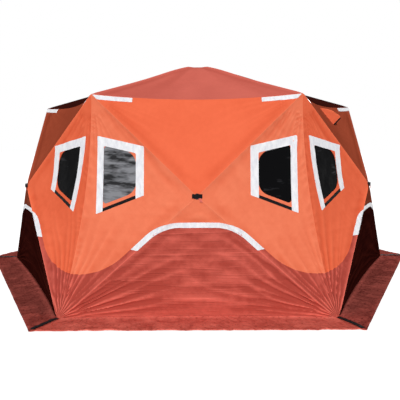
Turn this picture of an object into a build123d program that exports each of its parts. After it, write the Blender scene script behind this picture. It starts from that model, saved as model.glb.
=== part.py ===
from build123d import *
from math import cos, radians, sin
import os

# Six-sided pop-up ice fishing hut: insulated cloth over sprung hub-and-pole frames.
# Overall form, millimetres. Radii run from the hut's upright axis.
base_corner_radius = 2150.0
eave_corner_radius = 1700.0
eave_height = 1725.0
hub_height = 940.0
hub_pull = 220.0
apex_height = 2184.0
peak_height = 2152.0
peak_slope = 0.11
corner_sag = 100.0
eave_sag = 85.0
foot_sag = 38.0
foot_depth = 20.0
wall_names = ["front", "front_right", "back_right", "back", "back_left", "front_left"]

# Cloth.
cloth_thickness = 5.0
cloth_chords = 4
tape_thickness = 1.2
pane_thickness = 1.0
seat_gap = 0.3

# The lower band's edge is a bell with a level crown below the hub.
bell_crown_height = 744.0
bell_crown_half = 279.0
bell_knee_half = 747.0
bell_foot_height = 314.0
bell_crown_round = 385.0
bell_foot_round = 640.0
bell_tape_width = 40.0
bell_tape_foot = 534.0

# Window tape corners, as seen square to a wall, from the wall's middle line.
window_seam_side = 800.0
window_hub_side = 410.0
window_seam_heights = (778.0, 1392.0)
window_hub_heights = (933.0, 1308.0)
window_seam_leg = 55.0
window_hub_leg = 65.0
window_seam_head = 81.0
window_hub_head = 53.0
window_hub_round = 120.0
window_seam_round = 25.0
window_edge = 8.0
sill_strip_width = 25.0
pane_lap = 22.0

# Tapes under the ends of the eaves.
eave_tape_length = 325.0
eave_tape_width = 28.0
eave_tape_drop = 6.0
eave_tape_fall = 27.0

# Skirt and anchor straps.
skirt_width = 232.0
skirt_thickness = 5.0
strap_width = 28.0
strap_thickness = 2.0
eyelet_share = 0.58
eyelet_radius = 12.0
eyelet_bore = 6.0
eyelet_thickness = 1.5
eyelet_foot = 1.0

# Frame.
pole_radius = 5.5
pole_end = 15.0
pole_ground_clearance = 14.0
hub_body_radius = 48.0
hub_body_depth = 62.0
hub_pole_start = 24.0
hub_bolt_radius = 10.0
hub_cap_radius = 22.0
hub_cap_height = 4.0
eave_pocket_radius = 44.0
eave_pocket_depth = 62.0
base_pocket_radius = 78.0
base_pocket_depth = 85.0
roof_hub_radius = 62.0
roof_hub_depth = 70.0
roof_pole_start = 30.0
roof_pole_drop = 13.0

# Webbing strap that lies across each hub cap.
pull_strap_half = 42.0
pull_strap_width = 34.0
pull_strap_rise = 11.0

# Vent hood on one wall: a scoop sewn along two edges and propped open at its mouth.
# Places are as seen square to the wall: across from its middle line, and height.
hood_wall = "front_right"
hood_tip_drop = 67.0
hood_foot_drop = 220.0
hood_head_drop = 85.0
hood_tip = (-110.0, eave_height - hood_tip_drop)
hood_mouth_foot = (40.0, eave_height - hood_foot_drop)
hood_mouth_head = (112.0, eave_height - hood_head_drop)
hood_rise = 80.0
hood_thickness = 4.0
hood_chords = 8
hood_seat = 8.0
hood_mouth_hem = 1.0
hood_tip_solid = 12.0
hood_prop_radius = 5.0
hood_prop_share = 0.12

front_bearing = -90.0
wall_turn = 360 / len(wall_names)
half_turn = wall_turn / 2
front_view = Plane(origin=(0, 0, 0), x_dir=(1, 0, 0), z_dir=(0, -1, 0))
beyond = 2600.0


def at(radius: float, bearing: float, height: float) -> Vector:
    """Point at a radius and bearing from the hut's axis, at a height."""
    turn = radians(bearing)
    return Vector(radius * cos(turn), radius * sin(turn), height)


# Each wall hub is pulled out past the flat between its wall's four corners.
flat_share = hub_height / eave_height
flat_radius = base_corner_radius + flat_share * (eave_corner_radius - base_corner_radius)
hub_reach = flat_radius * cos(radians(half_turn)) + hub_pull

centre = Vector(0, 0, hub_height)
hub = at(hub_reach, front_bearing, hub_height)
apex = Vector(0, 0, apex_height)
eave_left = at(eave_corner_radius, front_bearing - half_turn, eave_height)
eave_right = at(eave_corner_radius, front_bearing + half_turn, eave_height)
base_left = at(base_corner_radius, front_bearing - half_turn, 0)
foot_left = at(base_corner_radius, front_bearing - half_turn, -foot_depth)
foot_right = at(base_corner_radius, front_bearing + half_turn, -foot_depth)


def sunk(point: Vector, share: float) -> Vector:
    """Point moved towards the hut's centre by a share of its distance."""
    return point + (centre - point) * share


def sagged_middle(start: Vector, end: Vector, sag: float) -> Vector:
    """Middle of an edge that sags towards the hut's centre."""
    middle = (start + end) * 0.5
    return middle + (centre - middle).normalized() * sag


# Each panel is cloth from a tip to a sagging edge.
panel_edges = {
    "top": (hub, [eave_left, sagged_middle(eave_left, eave_right, eave_sag), eave_right]),
    "side": (hub, [foot_left, sagged_middle(foot_left, eave_left, corner_sag), eave_left]),
    "foot": (hub, [foot_right, sagged_middle(foot_right, foot_left, foot_sag), foot_left]),
    "roof": (apex, [eave_right, sagged_middle(eave_left, eave_right, eave_sag), eave_left]),
}


def edge_chords(panel: str) -> list[Vector]:
    """Ends of the chords along a panel's sagging edge."""
    edge = panel_edges[panel][1]
    sagging = ThreePointArc(*edge, mode=Mode.PRIVATE)
    return [sagging @ (step / cloth_chords) for step in range(cloth_chords + 1)]


def skin_reach(panel: str) -> float:
    """Distance from the hut's centre to the flat of cloth along a panel's first pole."""
    tip = panel_edges[panel][0]
    corner, after = edge_chords(panel)[:2]
    square = (corner - tip).cross(after - tip).normalized()
    return abs((tip - centre).dot(square))


# Shares of the distance to the hut's centre that stand for thicknesses.
socket_radius = pole_radius + seat_gap
wall_share = cloth_thickness / hub_reach
seat_share = seat_gap / hub_reach
tape_share = -seat_share - tape_thickness / hub_reach
pane_share = wall_share + seat_share + pane_thickness / hub_reach
pole_share = wall_share + socket_radius / skin_reach("top")
roof_pole_share = wall_share + socket_radius / skin_reach("roof")


def cloth_block(panel: str, share: float = 0.0) -> Part:
    """Solid from the hut's centre out to the outer skin of one panel, sunk by a share."""
    tip = sunk(panel_edges[panel][0], share)
    chords = [sunk(point, share) for point in edge_chords(panel)]
    fan_plane = Plane(
        origin=centre,
        x_dir=chords[0] - centre,
        z_dir=(chords[0] - centre).cross(chords[-1] - centre),
    )
    flat = [fan_plane.to_local_coords(point) for point in chords]
    with BuildPart() as block:
        with BuildSketch(fan_plane) as fan:
            with BuildLine():
                Polyline((0, 0), *flat, close=True)
            make_face()
        loft(sections=[fan.sketch.face(), Vertex(tip)], ruled=True)
        split(bisect_by=Plane.XY, keep=Keep.TOP)
    return block.part


def mirrored(part: Part) -> Part:
    """The same part on the other side of the front wall."""
    return mirror(part, about=Plane.YZ, mode=Mode.PRIVATE)


def wall_block(share: float) -> Part:
    """Solid from the hut's centre out to the outer skin of the front wall."""
    side = cloth_block("side", share)
    with BuildPart() as block:
        add(cloth_block("top", share))
        add(cloth_block("foot", share))
        add(side)
        add(mirrored(side))
    return block.part


def peak_cone(share: float) -> Part:
    """Low cone that flattens the roof where it rests on the roof hub."""
    tip = sunk(Vector(0, 0, peak_height), share)
    rim = Vector(beyond, 0, peak_height - peak_slope * beyond)
    with BuildPart() as cone:
        with BuildSketch(Plane.XZ):
            Polygon(
                (0, tip.Z),
                (rim.X, rim.Z + tip.Z - peak_height),
                (rim.X, -beyond),
                (0, -beyond),
                align=None,
            )
        revolve(axis=Axis.Z)
    return cone.part


def roof_block(share: float) -> Part:
    """Solid from the hut's centre out to the outer skin of the front roof panel."""
    with BuildPart() as block:
        add(cloth_block("roof", share))
        add(peak_cone(share), mode=Mode.INTERSECT)
    return block.part


def skin(outer: Part, inner: Part) -> Part:
    """Layer between two nested blocks."""
    with BuildPart() as layer:
        add(outer)
        add(inner, mode=Mode.SUBTRACT)
    return layer.part


def pushed(outline: Sketch) -> Part:
    """Prism square to the front wall through an outline drawn in the front view."""
    with BuildPart() as prism:
        extrude(outline, amount=beyond, dir=(0, -1, 0))
    return prism.part


def shared(part: Part, *others: Part) -> Part:
    """What a part has in common with others."""
    with BuildPart() as common:
        add(part)
        for other in others:
            add(other, mode=Mode.INTERSECT)
    return common.part


# Blocks of the front wall and its roof panel, nested to the cloth's thickness.
# Seats stand a hair off the skins, so that curved faces don't bite.
wall_outside = wall_block(-seat_share)
wall_inside = wall_block(wall_share + seat_share)
side_cloth = skin(cloth_block("side"), cloth_block("side", wall_share))
top_cloth = skin(cloth_block("top"), cloth_block("top", wall_share))
foot_cloth = skin(cloth_block("foot"), cloth_block("foot", wall_share))
roof_cloth = skin(roof_block(0), roof_block(wall_share))
side_trim = skin(cloth_block("side", tape_share), cloth_block("side", -seat_share))
top_trim = skin(cloth_block("top", tape_share), cloth_block("top", -seat_share))
foot_trim = skin(cloth_block("foot", tape_share), cloth_block("foot", -seat_share))

# Outline of the lower band, a bell curve with a flat crown.
with BuildSketch(front_view) as bell:
    with BuildLine():
        bell_line = Polyline(
            (-beyond / 2, bell_foot_height),
            (-bell_knee_half, bell_foot_height),
            (-bell_crown_half, bell_crown_height),
            (bell_crown_half, bell_crown_height),
            (bell_knee_half, bell_foot_height),
            (beyond / 2, bell_foot_height),
        )
        Polyline(
            bell_line @ 1,
            (beyond / 2, -beyond / 4),
            (-beyond / 2, -beyond / 4),
            bell_line @ 0,
        )
    make_face()
    crown_corners = bell.vertices().group_by(Axis.Z)[-1]
    fillet(crown_corners, bell_crown_round)
    knee_corners = [
        corner for corner in bell.vertices() if abs(abs(corner.X) - bell_knee_half) < seat_gap
    ]
    fillet(knee_corners, bell_foot_round)
below_bell = pushed(bell.sketch)

with BuildSketch(front_view) as bell_tape_outline:
    add(bell.sketch)
    offset(bell.sketch, amount=-bell_tape_width, mode=Mode.SUBTRACT)
    with Locations((0, bell_tape_foot + beyond / 2)):
        Rectangle(beyond, beyond, mode=Mode.INTERSECT)


# Window outlines, one side of the wall, square to it.
def window_line(side: float, end: int) -> float:
    """Height of the window tape's foot (0) or head (1) at a distance from the middle line."""
    share = (side - window_hub_side) / (window_seam_side - window_hub_side)
    hub_side_height = window_hub_heights[end]
    return hub_side_height + share * (window_seam_heights[end] - hub_side_height)


inner_hub_side = window_hub_side + window_hub_leg
inner_seam_side = window_seam_side - window_seam_leg
inner_hub_head = window_line(window_hub_side, 1) - window_hub_head
inner_seam_head = window_line(window_seam_side, 1) - window_seam_head
inner_hub_foot = window_line(inner_hub_side, 0)
inner_seam_foot = window_line(inner_seam_side, 0)

with BuildSketch(front_view) as window_tape_outline:
    Polygon(
        (-window_hub_side, window_hub_heights[0]),
        (-window_hub_side, window_hub_heights[1]),
        (-window_seam_side, window_seam_heights[1]),
        (-window_seam_side, window_seam_heights[0]),
        align=None,
    )
    Polygon(
        (-inner_hub_side, inner_hub_foot - window_edge),
        (-inner_hub_side, inner_hub_head),
        (-inner_seam_side, inner_seam_head),
        (-inner_seam_side, inner_seam_foot - window_edge),
        align=None,
        mode=Mode.SUBTRACT,
    )

with BuildSketch(front_view) as sill_outline:
    Polygon(
        (-inner_hub_side - seat_gap, inner_hub_foot),
        (-inner_hub_side - seat_gap, inner_hub_foot + sill_strip_width),
        (-inner_seam_side + seat_gap, inner_seam_foot + sill_strip_width),
        (-inner_seam_side + seat_gap, inner_seam_foot),
        align=None,
    )

with BuildSketch(front_view) as window_outline:
    Polygon(
        (-inner_hub_side - window_edge, inner_hub_foot + 2 * sill_strip_width),
        (-inner_hub_side - window_edge, inner_hub_head - window_edge),
        (-inner_seam_side + window_edge, inner_seam_head - window_edge),
        (-inner_seam_side + window_edge, inner_seam_foot + 2 * sill_strip_width),
        align=None,
    )
    seam_corners = window_outline.vertices().group_by(Axis.X)[0]
    fillet(seam_corners, window_seam_round)
    hub_corners = [v for v in window_outline.vertices() if v.X > -inner_hub_side - 2 * window_edge]
    fillet(hub_corners, window_hub_round)
window_opening = pushed(window_outline.sketch)

with BuildSketch(front_view) as pane_outline:
    offset(window_outline.sketch, amount=pane_lap)

with BuildSketch(front_view) as eave_tape_outline:
    eave_tape_head = eave_height - eave_tape_drop
    eave_tape_end = eave_left.X + eave_tape_length
    Polygon(
        (eave_left.X, eave_tape_head),
        (eave_tape_end, eave_tape_head - eave_tape_fall),
        (eave_tape_end, eave_tape_head - eave_tape_fall - eave_tape_width),
        (eave_left.X, eave_tape_head - eave_tape_width),
        align=None,
    )

# The hub's bolt passes through the cloth where the four panels meet.
with BuildPart() as bolt_hole:
    with BuildSketch(Plane(origin=(0, 0, hub_height), z_dir=(0, -1, 0))):
        Circle(hub_bolt_radius)
    extrude(amount=beyond)

# Cloth of the front wall.
with BuildPart() as top_panel:
    add(top_cloth)
    add(bolt_hole.part, mode=Mode.SUBTRACT)

with BuildPart() as side_panel:
    add(side_cloth)
    add(below_bell, mode=Mode.SUBTRACT)
    add(window_opening, mode=Mode.SUBTRACT)
    add(bolt_hole.part, mode=Mode.SUBTRACT)

with BuildPart() as window_panels:
    add(side_panel.part)
    add(mirrored(side_panel.part))

with BuildPart() as crown_panel:
    add(foot_cloth)
    add(below_bell, mode=Mode.SUBTRACT)
    add(bolt_hole.part, mode=Mode.SUBTRACT)

side_band = shared(side_cloth, below_bell)
with BuildPart() as lower_band:
    add(shared(foot_cloth, below_bell))
    add(side_band)
    add(mirrored(side_band))

# Window panes lap the inside of the cloth.
pane_layer = skin(cloth_block("side", wall_share + seat_share), cloth_block("side", pane_share))
pane = shared(pane_layer, pushed(pane_outline.sketch))

# Tapes sewn to the outside.
window_tape = shared(side_trim, pushed(window_tape_outline.sketch))
sill_strip = shared(side_trim, pushed(sill_outline.sketch))
eave_tape = shared(top_trim, pushed(eave_tape_outline.sketch))
side_bell_tape = shared(side_trim, pushed(bell_tape_outline.sketch))
with BuildPart() as bell_tape:
    add(shared(foot_trim, pushed(bell_tape_outline.sketch)))
    add(side_bell_tape)
    add(mirrored(side_bell_tape))


def rod(start: Vector, end: Vector, radius: float) -> Part:
    """Round rod between two points."""
    along = end - start
    with BuildPart() as bar:
        with BuildSketch(Plane(origin=start, z_dir=along)):
            Circle(radius)
        extrude(amount=along.length)
    return bar.part


def channel(start: Vector, end: Vector) -> Part:
    """Square channel round a pole, with a gap at its sides and ends."""
    along = (end - start).normalized()
    with BuildPart() as bore:
        with BuildSketch(Plane(origin=start - along * seat_gap, z_dir=along)):
            Rectangle(2 * socket_radius, 2 * socket_radius)
        extrude(amount=(end - start).length + 2 * seat_gap)
    return bore.part


def short_of(start: Vector, end: Vector, gap: float) -> Vector:
    """Point that stops short of the end by a gap."""
    along = end - start
    return end - along.normalized() * gap


# Poles of the front wall, and of the roof above its left corner.
pole_hub = sunk(hub, pole_share)
pole_eave = sunk(eave_left, pole_share)
pole_foot = sunk(foot_left, pole_share)
ground_stop = (pole_ground_clearance - pole_foot.Z) / (pole_hub.Z - pole_foot.Z)
pole_ground = pole_foot + (pole_hub - pole_foot) * ground_stop
roof_pole_top = Vector(0, 0, peak_height - roof_pole_drop)
roof_pole_end = sunk(eave_left, roof_pole_share)
upper_start = short_of(pole_eave, pole_hub, hub_pole_start)
lower_start = short_of(pole_ground, pole_hub, hub_pole_start)
roof_start = short_of(roof_pole_end, roof_pole_top, roof_pole_start)
upper_end = short_of(pole_hub, pole_eave, pole_end)
roof_end = short_of(roof_pole_top, roof_pole_end, pole_end)
upper_pole = rod(upper_start, upper_end, pole_radius)
lower_pole = rod(lower_start, pole_ground, pole_radius)
roof_pole = rod(roof_start, roof_end, pole_radius)
upper_channel = channel(upper_start, upper_end)
lower_channel = channel(lower_start, pole_ground)
roof_channel = channel(roof_start, roof_end)

# Wall hub: a moulded body inside the cloth and a cap outside it.
with BuildPart() as hub_body:
    with BuildSketch(Plane(origin=(0, -hub_reach + hub_body_depth, hub_height), z_dir=(0, -1, 0))):
        Circle(hub_body_radius)
    extrude(amount=hub_body_depth)
    add(wall_inside, mode=Mode.INTERSECT)
    for pole_channel in (upper_channel, lower_channel):
        add(pole_channel, mode=Mode.SUBTRACT)
        add(mirrored(pole_channel), mode=Mode.SUBTRACT)

with BuildPart() as hub_cap:
    with BuildSketch(Plane(origin=(0, -hub_reach + hub_body_depth, hub_height), z_dir=(0, -1, 0))):
        Circle(hub_cap_radius)
    extrude(amount=hub_body_depth + hub_cap_height)
    add(wall_outside, mode=Mode.SUBTRACT)

# Pull strap, webbing folded across the hub cap.
with BuildPart() as pull_strap:
    with BuildSketch(Plane.XY.offset(hub_height - pull_strap_width / 2)):
        with BuildLine():
            outer_loop = ThreePointArc(
                (-pull_strap_half, -hub_reach + pull_strap_half / 2),
                (0, -hub_reach - pull_strap_rise),
                (pull_strap_half, -hub_reach + pull_strap_half / 2),
            )
            Line(outer_loop @ 1, outer_loop @ 0)
        make_face()
    extrude(amount=pull_strap_width)
    add(wall_outside, mode=Mode.SUBTRACT)
    add(hub_cap.part, mode=Mode.SUBTRACT)


def corner_mirrored(part: Part) -> Part:
    """The same part on the other side of the front wall's left corner."""
    corner_plane = Plane(origin=(0, 0, 0), z_dir=at(1, front_bearing - half_turn - 90, 0))
    return mirror(part, about=corner_plane, mode=Mode.PRIVATE)


# Inside of the cloth around the front wall's left corner.
with BuildPart() as front_inside:
    add(cloth_block("roof", wall_share + seat_share))
    add(wall_inside)
with BuildPart() as corner_inside:
    add(front_inside.part)
    add(corner_mirrored(front_inside.part))


def pocket(place: Vector, radius: float, depth: float, channels: list[Part]) -> Part:
    """Corner pocket: a round plug moulded to the inside of the cloth at a corner."""
    outward = (place - centre).normalized()
    with BuildPart() as plug:
        with BuildSketch(Plane(origin=place - outward * depth, z_dir=outward)):
            Circle(radius)
        extrude(amount=2 * depth)
        add(corner_inside.part, mode=Mode.INTERSECT)
        for pole_channel in channels:
            add(pole_channel, mode=Mode.SUBTRACT)
            add(corner_mirrored(pole_channel), mode=Mode.SUBTRACT)
    return plug.part.solids().sort_by(SortBy.VOLUME)[-1]


eave_channels = [upper_channel, roof_channel]
eave_pocket = pocket(eave_left, eave_pocket_radius, eave_pocket_depth, eave_channels)
base_pocket = pocket(base_left, base_pocket_radius, base_pocket_depth, [lower_channel])

# Roof hub under the peak.
with BuildPart() as roof_hub:
    with BuildSketch(Plane.XY.offset(peak_height - roof_hub_depth)):
        Circle(roof_hub_radius)
    extrude(amount=roof_hub_depth)
    add(peak_cone(wall_share + seat_share), mode=Mode.INTERSECT)
    with PolarLocations(0, len(wall_names)):
        add(roof_channel, mode=Mode.SUBTRACT)

# Skirt piece of the front wall, with half an eyelet hole at each end.
skirt_corner = base_corner_radius + skirt_width / cos(radians(half_turn))
eyelet_reach = base_corner_radius + eyelet_share * (skirt_corner - base_corner_radius)
eyelet_sleeve = (eyelet_radius + eyelet_bore) / 2
eyelet_place = at(eyelet_reach, front_bearing - half_turn, 0)
with BuildPart() as eyelet_hole:
    with BuildSketch(Plane(origin=eyelet_place)):
        Circle(eyelet_sleeve)
    extrude(amount=2 * skirt_thickness, both=True)

with BuildPart() as skirt_slab:
    with BuildSketch(Plane.XY):
        skirt_bearings = (front_bearing - half_turn, front_bearing + half_turn)
        inner_reach = base_corner_radius - skirt_width
        Polygon(
            *[tuple(at(skirt_corner, bearing, 0))[:2] for bearing in skirt_bearings],
            *[tuple(at(inner_reach, bearing, 0))[:2] for bearing in reversed(skirt_bearings)],
            align=None,
        )
        offset(amount=-seat_gap, kind=Kind.INTERSECTION)
    extrude(amount=skirt_thickness)
    add(wall_outside, mode=Mode.SUBTRACT)
    add(eyelet_hole.part, mode=Mode.SUBTRACT)
    add(mirrored(eyelet_hole.part), mode=Mode.SUBTRACT)
with BuildPart() as skirt_piece:
    add(skirt_slab.part.solids().sort_by(Axis.Y)[0])

# Anchor strap from the corner across the skirt, and its eyelet.
corner_frame = Plane(
    origin=(0, 0, skirt_thickness),
    x_dir=at(1, front_bearing - half_turn, 0),
    z_dir=(0, 0, 1),
)
strap_end = skirt_corner - strap_width
with BuildPart() as corner_strap:
    with BuildSketch(corner_frame):
        with Locations(((strap_end + base_corner_radius - strap_width) / 2, 0)):
            Rectangle(strap_end - base_corner_radius + strap_width, strap_width)
    extrude(amount=strap_thickness)
    add(wall_outside, mode=Mode.SUBTRACT)
    add(corner_mirrored(wall_outside), mode=Mode.SUBTRACT)
    add(eyelet_hole.part, mode=Mode.SUBTRACT)

with BuildPart() as eyelet:
    strap_top = skirt_thickness + strap_thickness
    with BuildSketch(Plane(origin=eyelet_place, x_dir=(1, 0, 0), z_dir=(0, -1, 0))):
        with BuildLine():
            Polyline(
                (eyelet_bore, eyelet_foot),
                (eyelet_sleeve, eyelet_foot),
                (eyelet_sleeve, strap_top),
                (eyelet_radius, strap_top),
                (eyelet_radius, strap_top + eyelet_thickness),
                (eyelet_bore, strap_top + eyelet_thickness),
                close=True,
            )
        make_face()
    revolve(axis=Axis(eyelet_place, (0, 0, 1)))

# Vent hood, a half cone from its tip to the arc of its mouth.
def on_skin(place: tuple, rise: float) -> Vector:
    """Point over the outer skin of the top panel, raised square to it."""
    sight = Axis((place[0], -beyond, place[1]), (0, 1, 0))
    point, normal = wall_outside.find_intersection_points(sight)[0]
    return point + normal * rise * (1 if normal.Y < 0 else -1)


mouth_middle = tuple((a + b) / 2 for a, b in zip(hood_mouth_foot, hood_mouth_head))
prop_place = tuple(m + (t - m) * hood_prop_share for m, t in zip(mouth_middle, hood_tip))
hood_outward = on_skin(mouth_middle, 1) - on_skin(mouth_middle, 0)
prop_foot = on_skin(prop_place, 0)


def hood_cone(inset: float) -> Part:
    """Half cone of the hood, or its hollow when inset."""
    tip = on_skin(hood_tip, -hood_seat)
    foot = on_skin(hood_mouth_foot, -hood_seat)
    head = on_skin(hood_mouth_head, -hood_seat)
    middle = (foot + head) * 0.5
    across = (head - foot).normalized()
    forward = (middle - tip).normalized()
    mouth_plane = Plane(
        origin=middle + forward * hood_mouth_hem * inset / hood_thickness,
        x_dir=across,
        z_dir=across.cross(hood_outward),
    )
    half_width = (head - foot).length / 2 - inset
    with BuildPart() as cone:
        with BuildSketch(mouth_plane) as mouth:
            with BuildLine():
                mouth_arc = ThreePointArc(
                    (-half_width, 0),
                    (0, hood_rise + hood_seat - inset),
                    (half_width, 0),
                    mode=Mode.PRIVATE,
                )
                rim = [mouth_arc @ (step / hood_chords) for step in range(hood_chords + 1)]
                Polyline(*rim, close=True)
            make_face()
        inner_tip = tip + forward * hood_tip_solid * inset / hood_thickness
        loft(sections=[mouth.sketch.face(), Vertex(inner_tip)], ruled=True)
    return cone.part


with BuildPart() as vent_hood:
    add(hood_cone(0))
    add(hood_cone(hood_thickness), mode=Mode.SUBTRACT)
    add(wall_outside, mode=Mode.SUBTRACT)

# Prop inside the hood, from the skin to the hood's inner face.
prop_below = prop_foot - hood_outward * hood_rise
prop_above = prop_foot + hood_outward * 2 * hood_rise
with BuildPart() as hood_prop:
    add(rod(prop_below, prop_above, hood_prop_radius))
    add(hood_cone(hood_thickness), mode=Mode.INTERSECT)
    add(wall_outside, mode=Mode.SUBTRACT)


def around(part: Part) -> Part:
    """The same part on every wall."""
    with BuildPart() as ring:
        with PolarLocations(0, len(wall_names)):
            add(part)
    return ring.part


def both_sides(part: Part) -> Part:
    """A part with its mirror image on the other side of the front wall."""
    with BuildPart() as pair:
        add(part)
        add(mirrored(part))
    return pair.part


def on_wall(part: Part, wall: str) -> Part:
    """The same part turned from the front wall to another."""
    with BuildPart() as turned:
        add(part, rotation=(0, 0, wall_turn * wall_names.index(wall)))
    return turned.part


wall_cloths = {
    "top_panel": top_panel.part,
    "window_panels": window_panels.part,
    "lower_band": lower_band.part,
    "roof_panel": roof_cloth,
}
pieces = {
    f"{wall}_{cloth}": on_wall(part, wall)
    for wall in wall_names
    for cloth, part in wall_cloths.items()
}
pieces["crown_panels"] = around(crown_panel.part)
pieces["snow_skirt"] = around(skirt_piece.part)
pieces["window_panes"] = around(both_sides(pane))
pieces["window_tapes"] = around(both_sides(window_tape))
pieces["window_sill_strips"] = around(both_sides(sill_strip))
pieces["bell_tapes"] = around(bell_tape.part)
pieces["eave_tapes"] = around(both_sides(eave_tape))
pieces["wall_poles"] = around(both_sides(upper_pole) + both_sides(lower_pole))
pieces["roof_poles"] = around(roof_pole)
pieces["wall_hubs"] = around(hub_body.part)
pieces["hub_caps"] = around(hub_cap.part)
pieces["roof_hub"] = roof_hub.part
pieces["eave_pockets"] = around(eave_pocket)
pieces["base_pockets"] = around(base_pocket)
pieces["pull_straps"] = around(pull_strap.part)
pieces["corner_straps"] = around(corner_strap.part)
pieces["strap_eyelets"] = around(eyelet.part)
pieces["vent_hood"] = on_wall(vent_hood.part, hood_wall)
pieces["hood_prop"] = on_wall(hood_prop.part, hood_wall)

os.makedirs("parts", exist_ok=True)
for label, part in pieces.items():
    with BuildPart() as piece:
        add(part)
    piece.part.label = label
    export_step(piece.part, f"parts/{label}.step")
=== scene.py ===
"""Dresses the six-sided pop-up ice fishing hut: stretched quilted cloth, tapes, panes, skirt and fittings."""

import logging
import math
from dataclasses import dataclass, field
from enum import Enum

import bpy
import numpy as np
from mathutils import Matrix, Vector
from mathutils.geometry import delaunay_2d_cdt

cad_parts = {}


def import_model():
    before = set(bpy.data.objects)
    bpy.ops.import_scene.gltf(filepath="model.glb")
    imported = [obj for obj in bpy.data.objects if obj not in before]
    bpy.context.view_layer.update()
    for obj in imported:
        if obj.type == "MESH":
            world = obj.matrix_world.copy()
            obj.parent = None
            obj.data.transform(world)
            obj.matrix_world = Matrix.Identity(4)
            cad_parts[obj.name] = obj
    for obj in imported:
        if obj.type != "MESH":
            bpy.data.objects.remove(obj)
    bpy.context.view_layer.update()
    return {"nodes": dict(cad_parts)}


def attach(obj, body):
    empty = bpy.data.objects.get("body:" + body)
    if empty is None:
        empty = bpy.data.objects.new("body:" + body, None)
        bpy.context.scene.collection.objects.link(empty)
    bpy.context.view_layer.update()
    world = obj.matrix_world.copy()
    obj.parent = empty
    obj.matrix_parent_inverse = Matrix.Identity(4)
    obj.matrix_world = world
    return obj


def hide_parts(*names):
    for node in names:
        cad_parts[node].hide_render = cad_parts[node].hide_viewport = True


log = logging.getLogger("hut")

Array = np.ndarray
Pair = tuple[float, float]
Triple = tuple[float, float, float]
Piece = bpy.types.Object
Socket = bpy.types.NodeSocket
# Points, triangles, and what the finishes read at each point.
Shell = tuple[Array, Array, Array]
# Places, triangles and directed rim edges.
Net = tuple[Array, Array, Array]

# Degrees from one wall to the next.
WALL_TURN = 60.0
# Distance of a hexagon's side from its middle, with corners one unit away.
FLAT_REACH = math.cos(math.radians(WALL_TURN / 2))


class WallName(Enum):
    """The six walls, by how many sixth turns they stand from the front one."""

    FRONT = 0
    FRONT_RIGHT = 1
    BACK_RIGHT = 2
    BACK = 3
    BACK_LEFT = 4
    FRONT_LEFT = 5

    @property
    def word(self) -> str:
        """The wall's name as the frame's nodes spell it."""
        return self.name.lower()

    @property
    def bright(self) -> bool:
        """Whether the wall is the front or the back one; the other walls take copies of the cloth painted in
        shade.
        """
        return self in (WallName.FRONT, WallName.BACK)

    @property
    def near(self) -> bool:
        """Whether the photo shows the wall, so that it is meshed finely."""
        return self in (WallName.FRONT, WallName.FRONT_LEFT, WallName.FRONT_RIGHT)


@dataclass(frozen=True)
class HutForm:
    """Main sizes of the hut, in metres."""

    base_radius: float = 2.150
    eave_radius: float = 1.700
    eave_height: float = 1.725
    hub_pull: float = 0.220
    hub_height: float = 0.940
    apex_height: float = 2.184
    peak_height: float = 2.152
    peak_slope: float = 0.11
    seam_sag: float = 0.100
    eave_sag: float = 0.085
    foot_sag: float = 0.038
    foot_depth: float = 0.020
    cloth: float = 0.005

    @property
    def hub_reach(self) -> float:
        """Distance of each wall hub from the hut's axis."""
        share = self.hub_height / self.eave_height
        flat_radius = self.base_radius + share * (self.eave_radius - self.base_radius)
        return flat_radius * FLAT_REACH + self.hub_pull

    @property
    def centre(self) -> Array:
        """The hut's centre, which every cloth edge sags towards."""
        return np.array([0.0, 0.0, self.hub_height])

    def corner(self, radius: float, bearing: float, height: float) -> Array:
        """Point at a radius and a bearing from the hut's axis.

        Args:
            radius: Distance from the axis.
            bearing: Degrees from +X.
            height: Height above the ground.

        Returns:
            The point.
        """
        turn = math.radians(bearing)
        return np.array([radius * math.cos(turn), radius * math.sin(turn), height])

    def sagging_edge(self, start: Array, end: Array, sag: float, count: int) -> Array:
        """Arc between two points that sags towards the hut's centre.

        Args:
            start: First point.
            end: Last point.
            sag: Depth of the arc.
            count: Number of points.

        Returns:
            Points along the arc, one a row.
        """
        middle = (start + end) / 2
        inward = self.centre - middle
        inward = inward / np.linalg.norm(inward)
        half = np.linalg.norm(end - start) / 2
        radius = (half * half + sag * sag) / (2 * sag)
        across = np.linspace(-half, half, count)
        depth = np.sqrt(radius * radius - across * across) - (radius - sag)
        along = (end - start) / (2 * half)
        return middle + across[:, None] * along + depth[:, None] * inward


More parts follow.
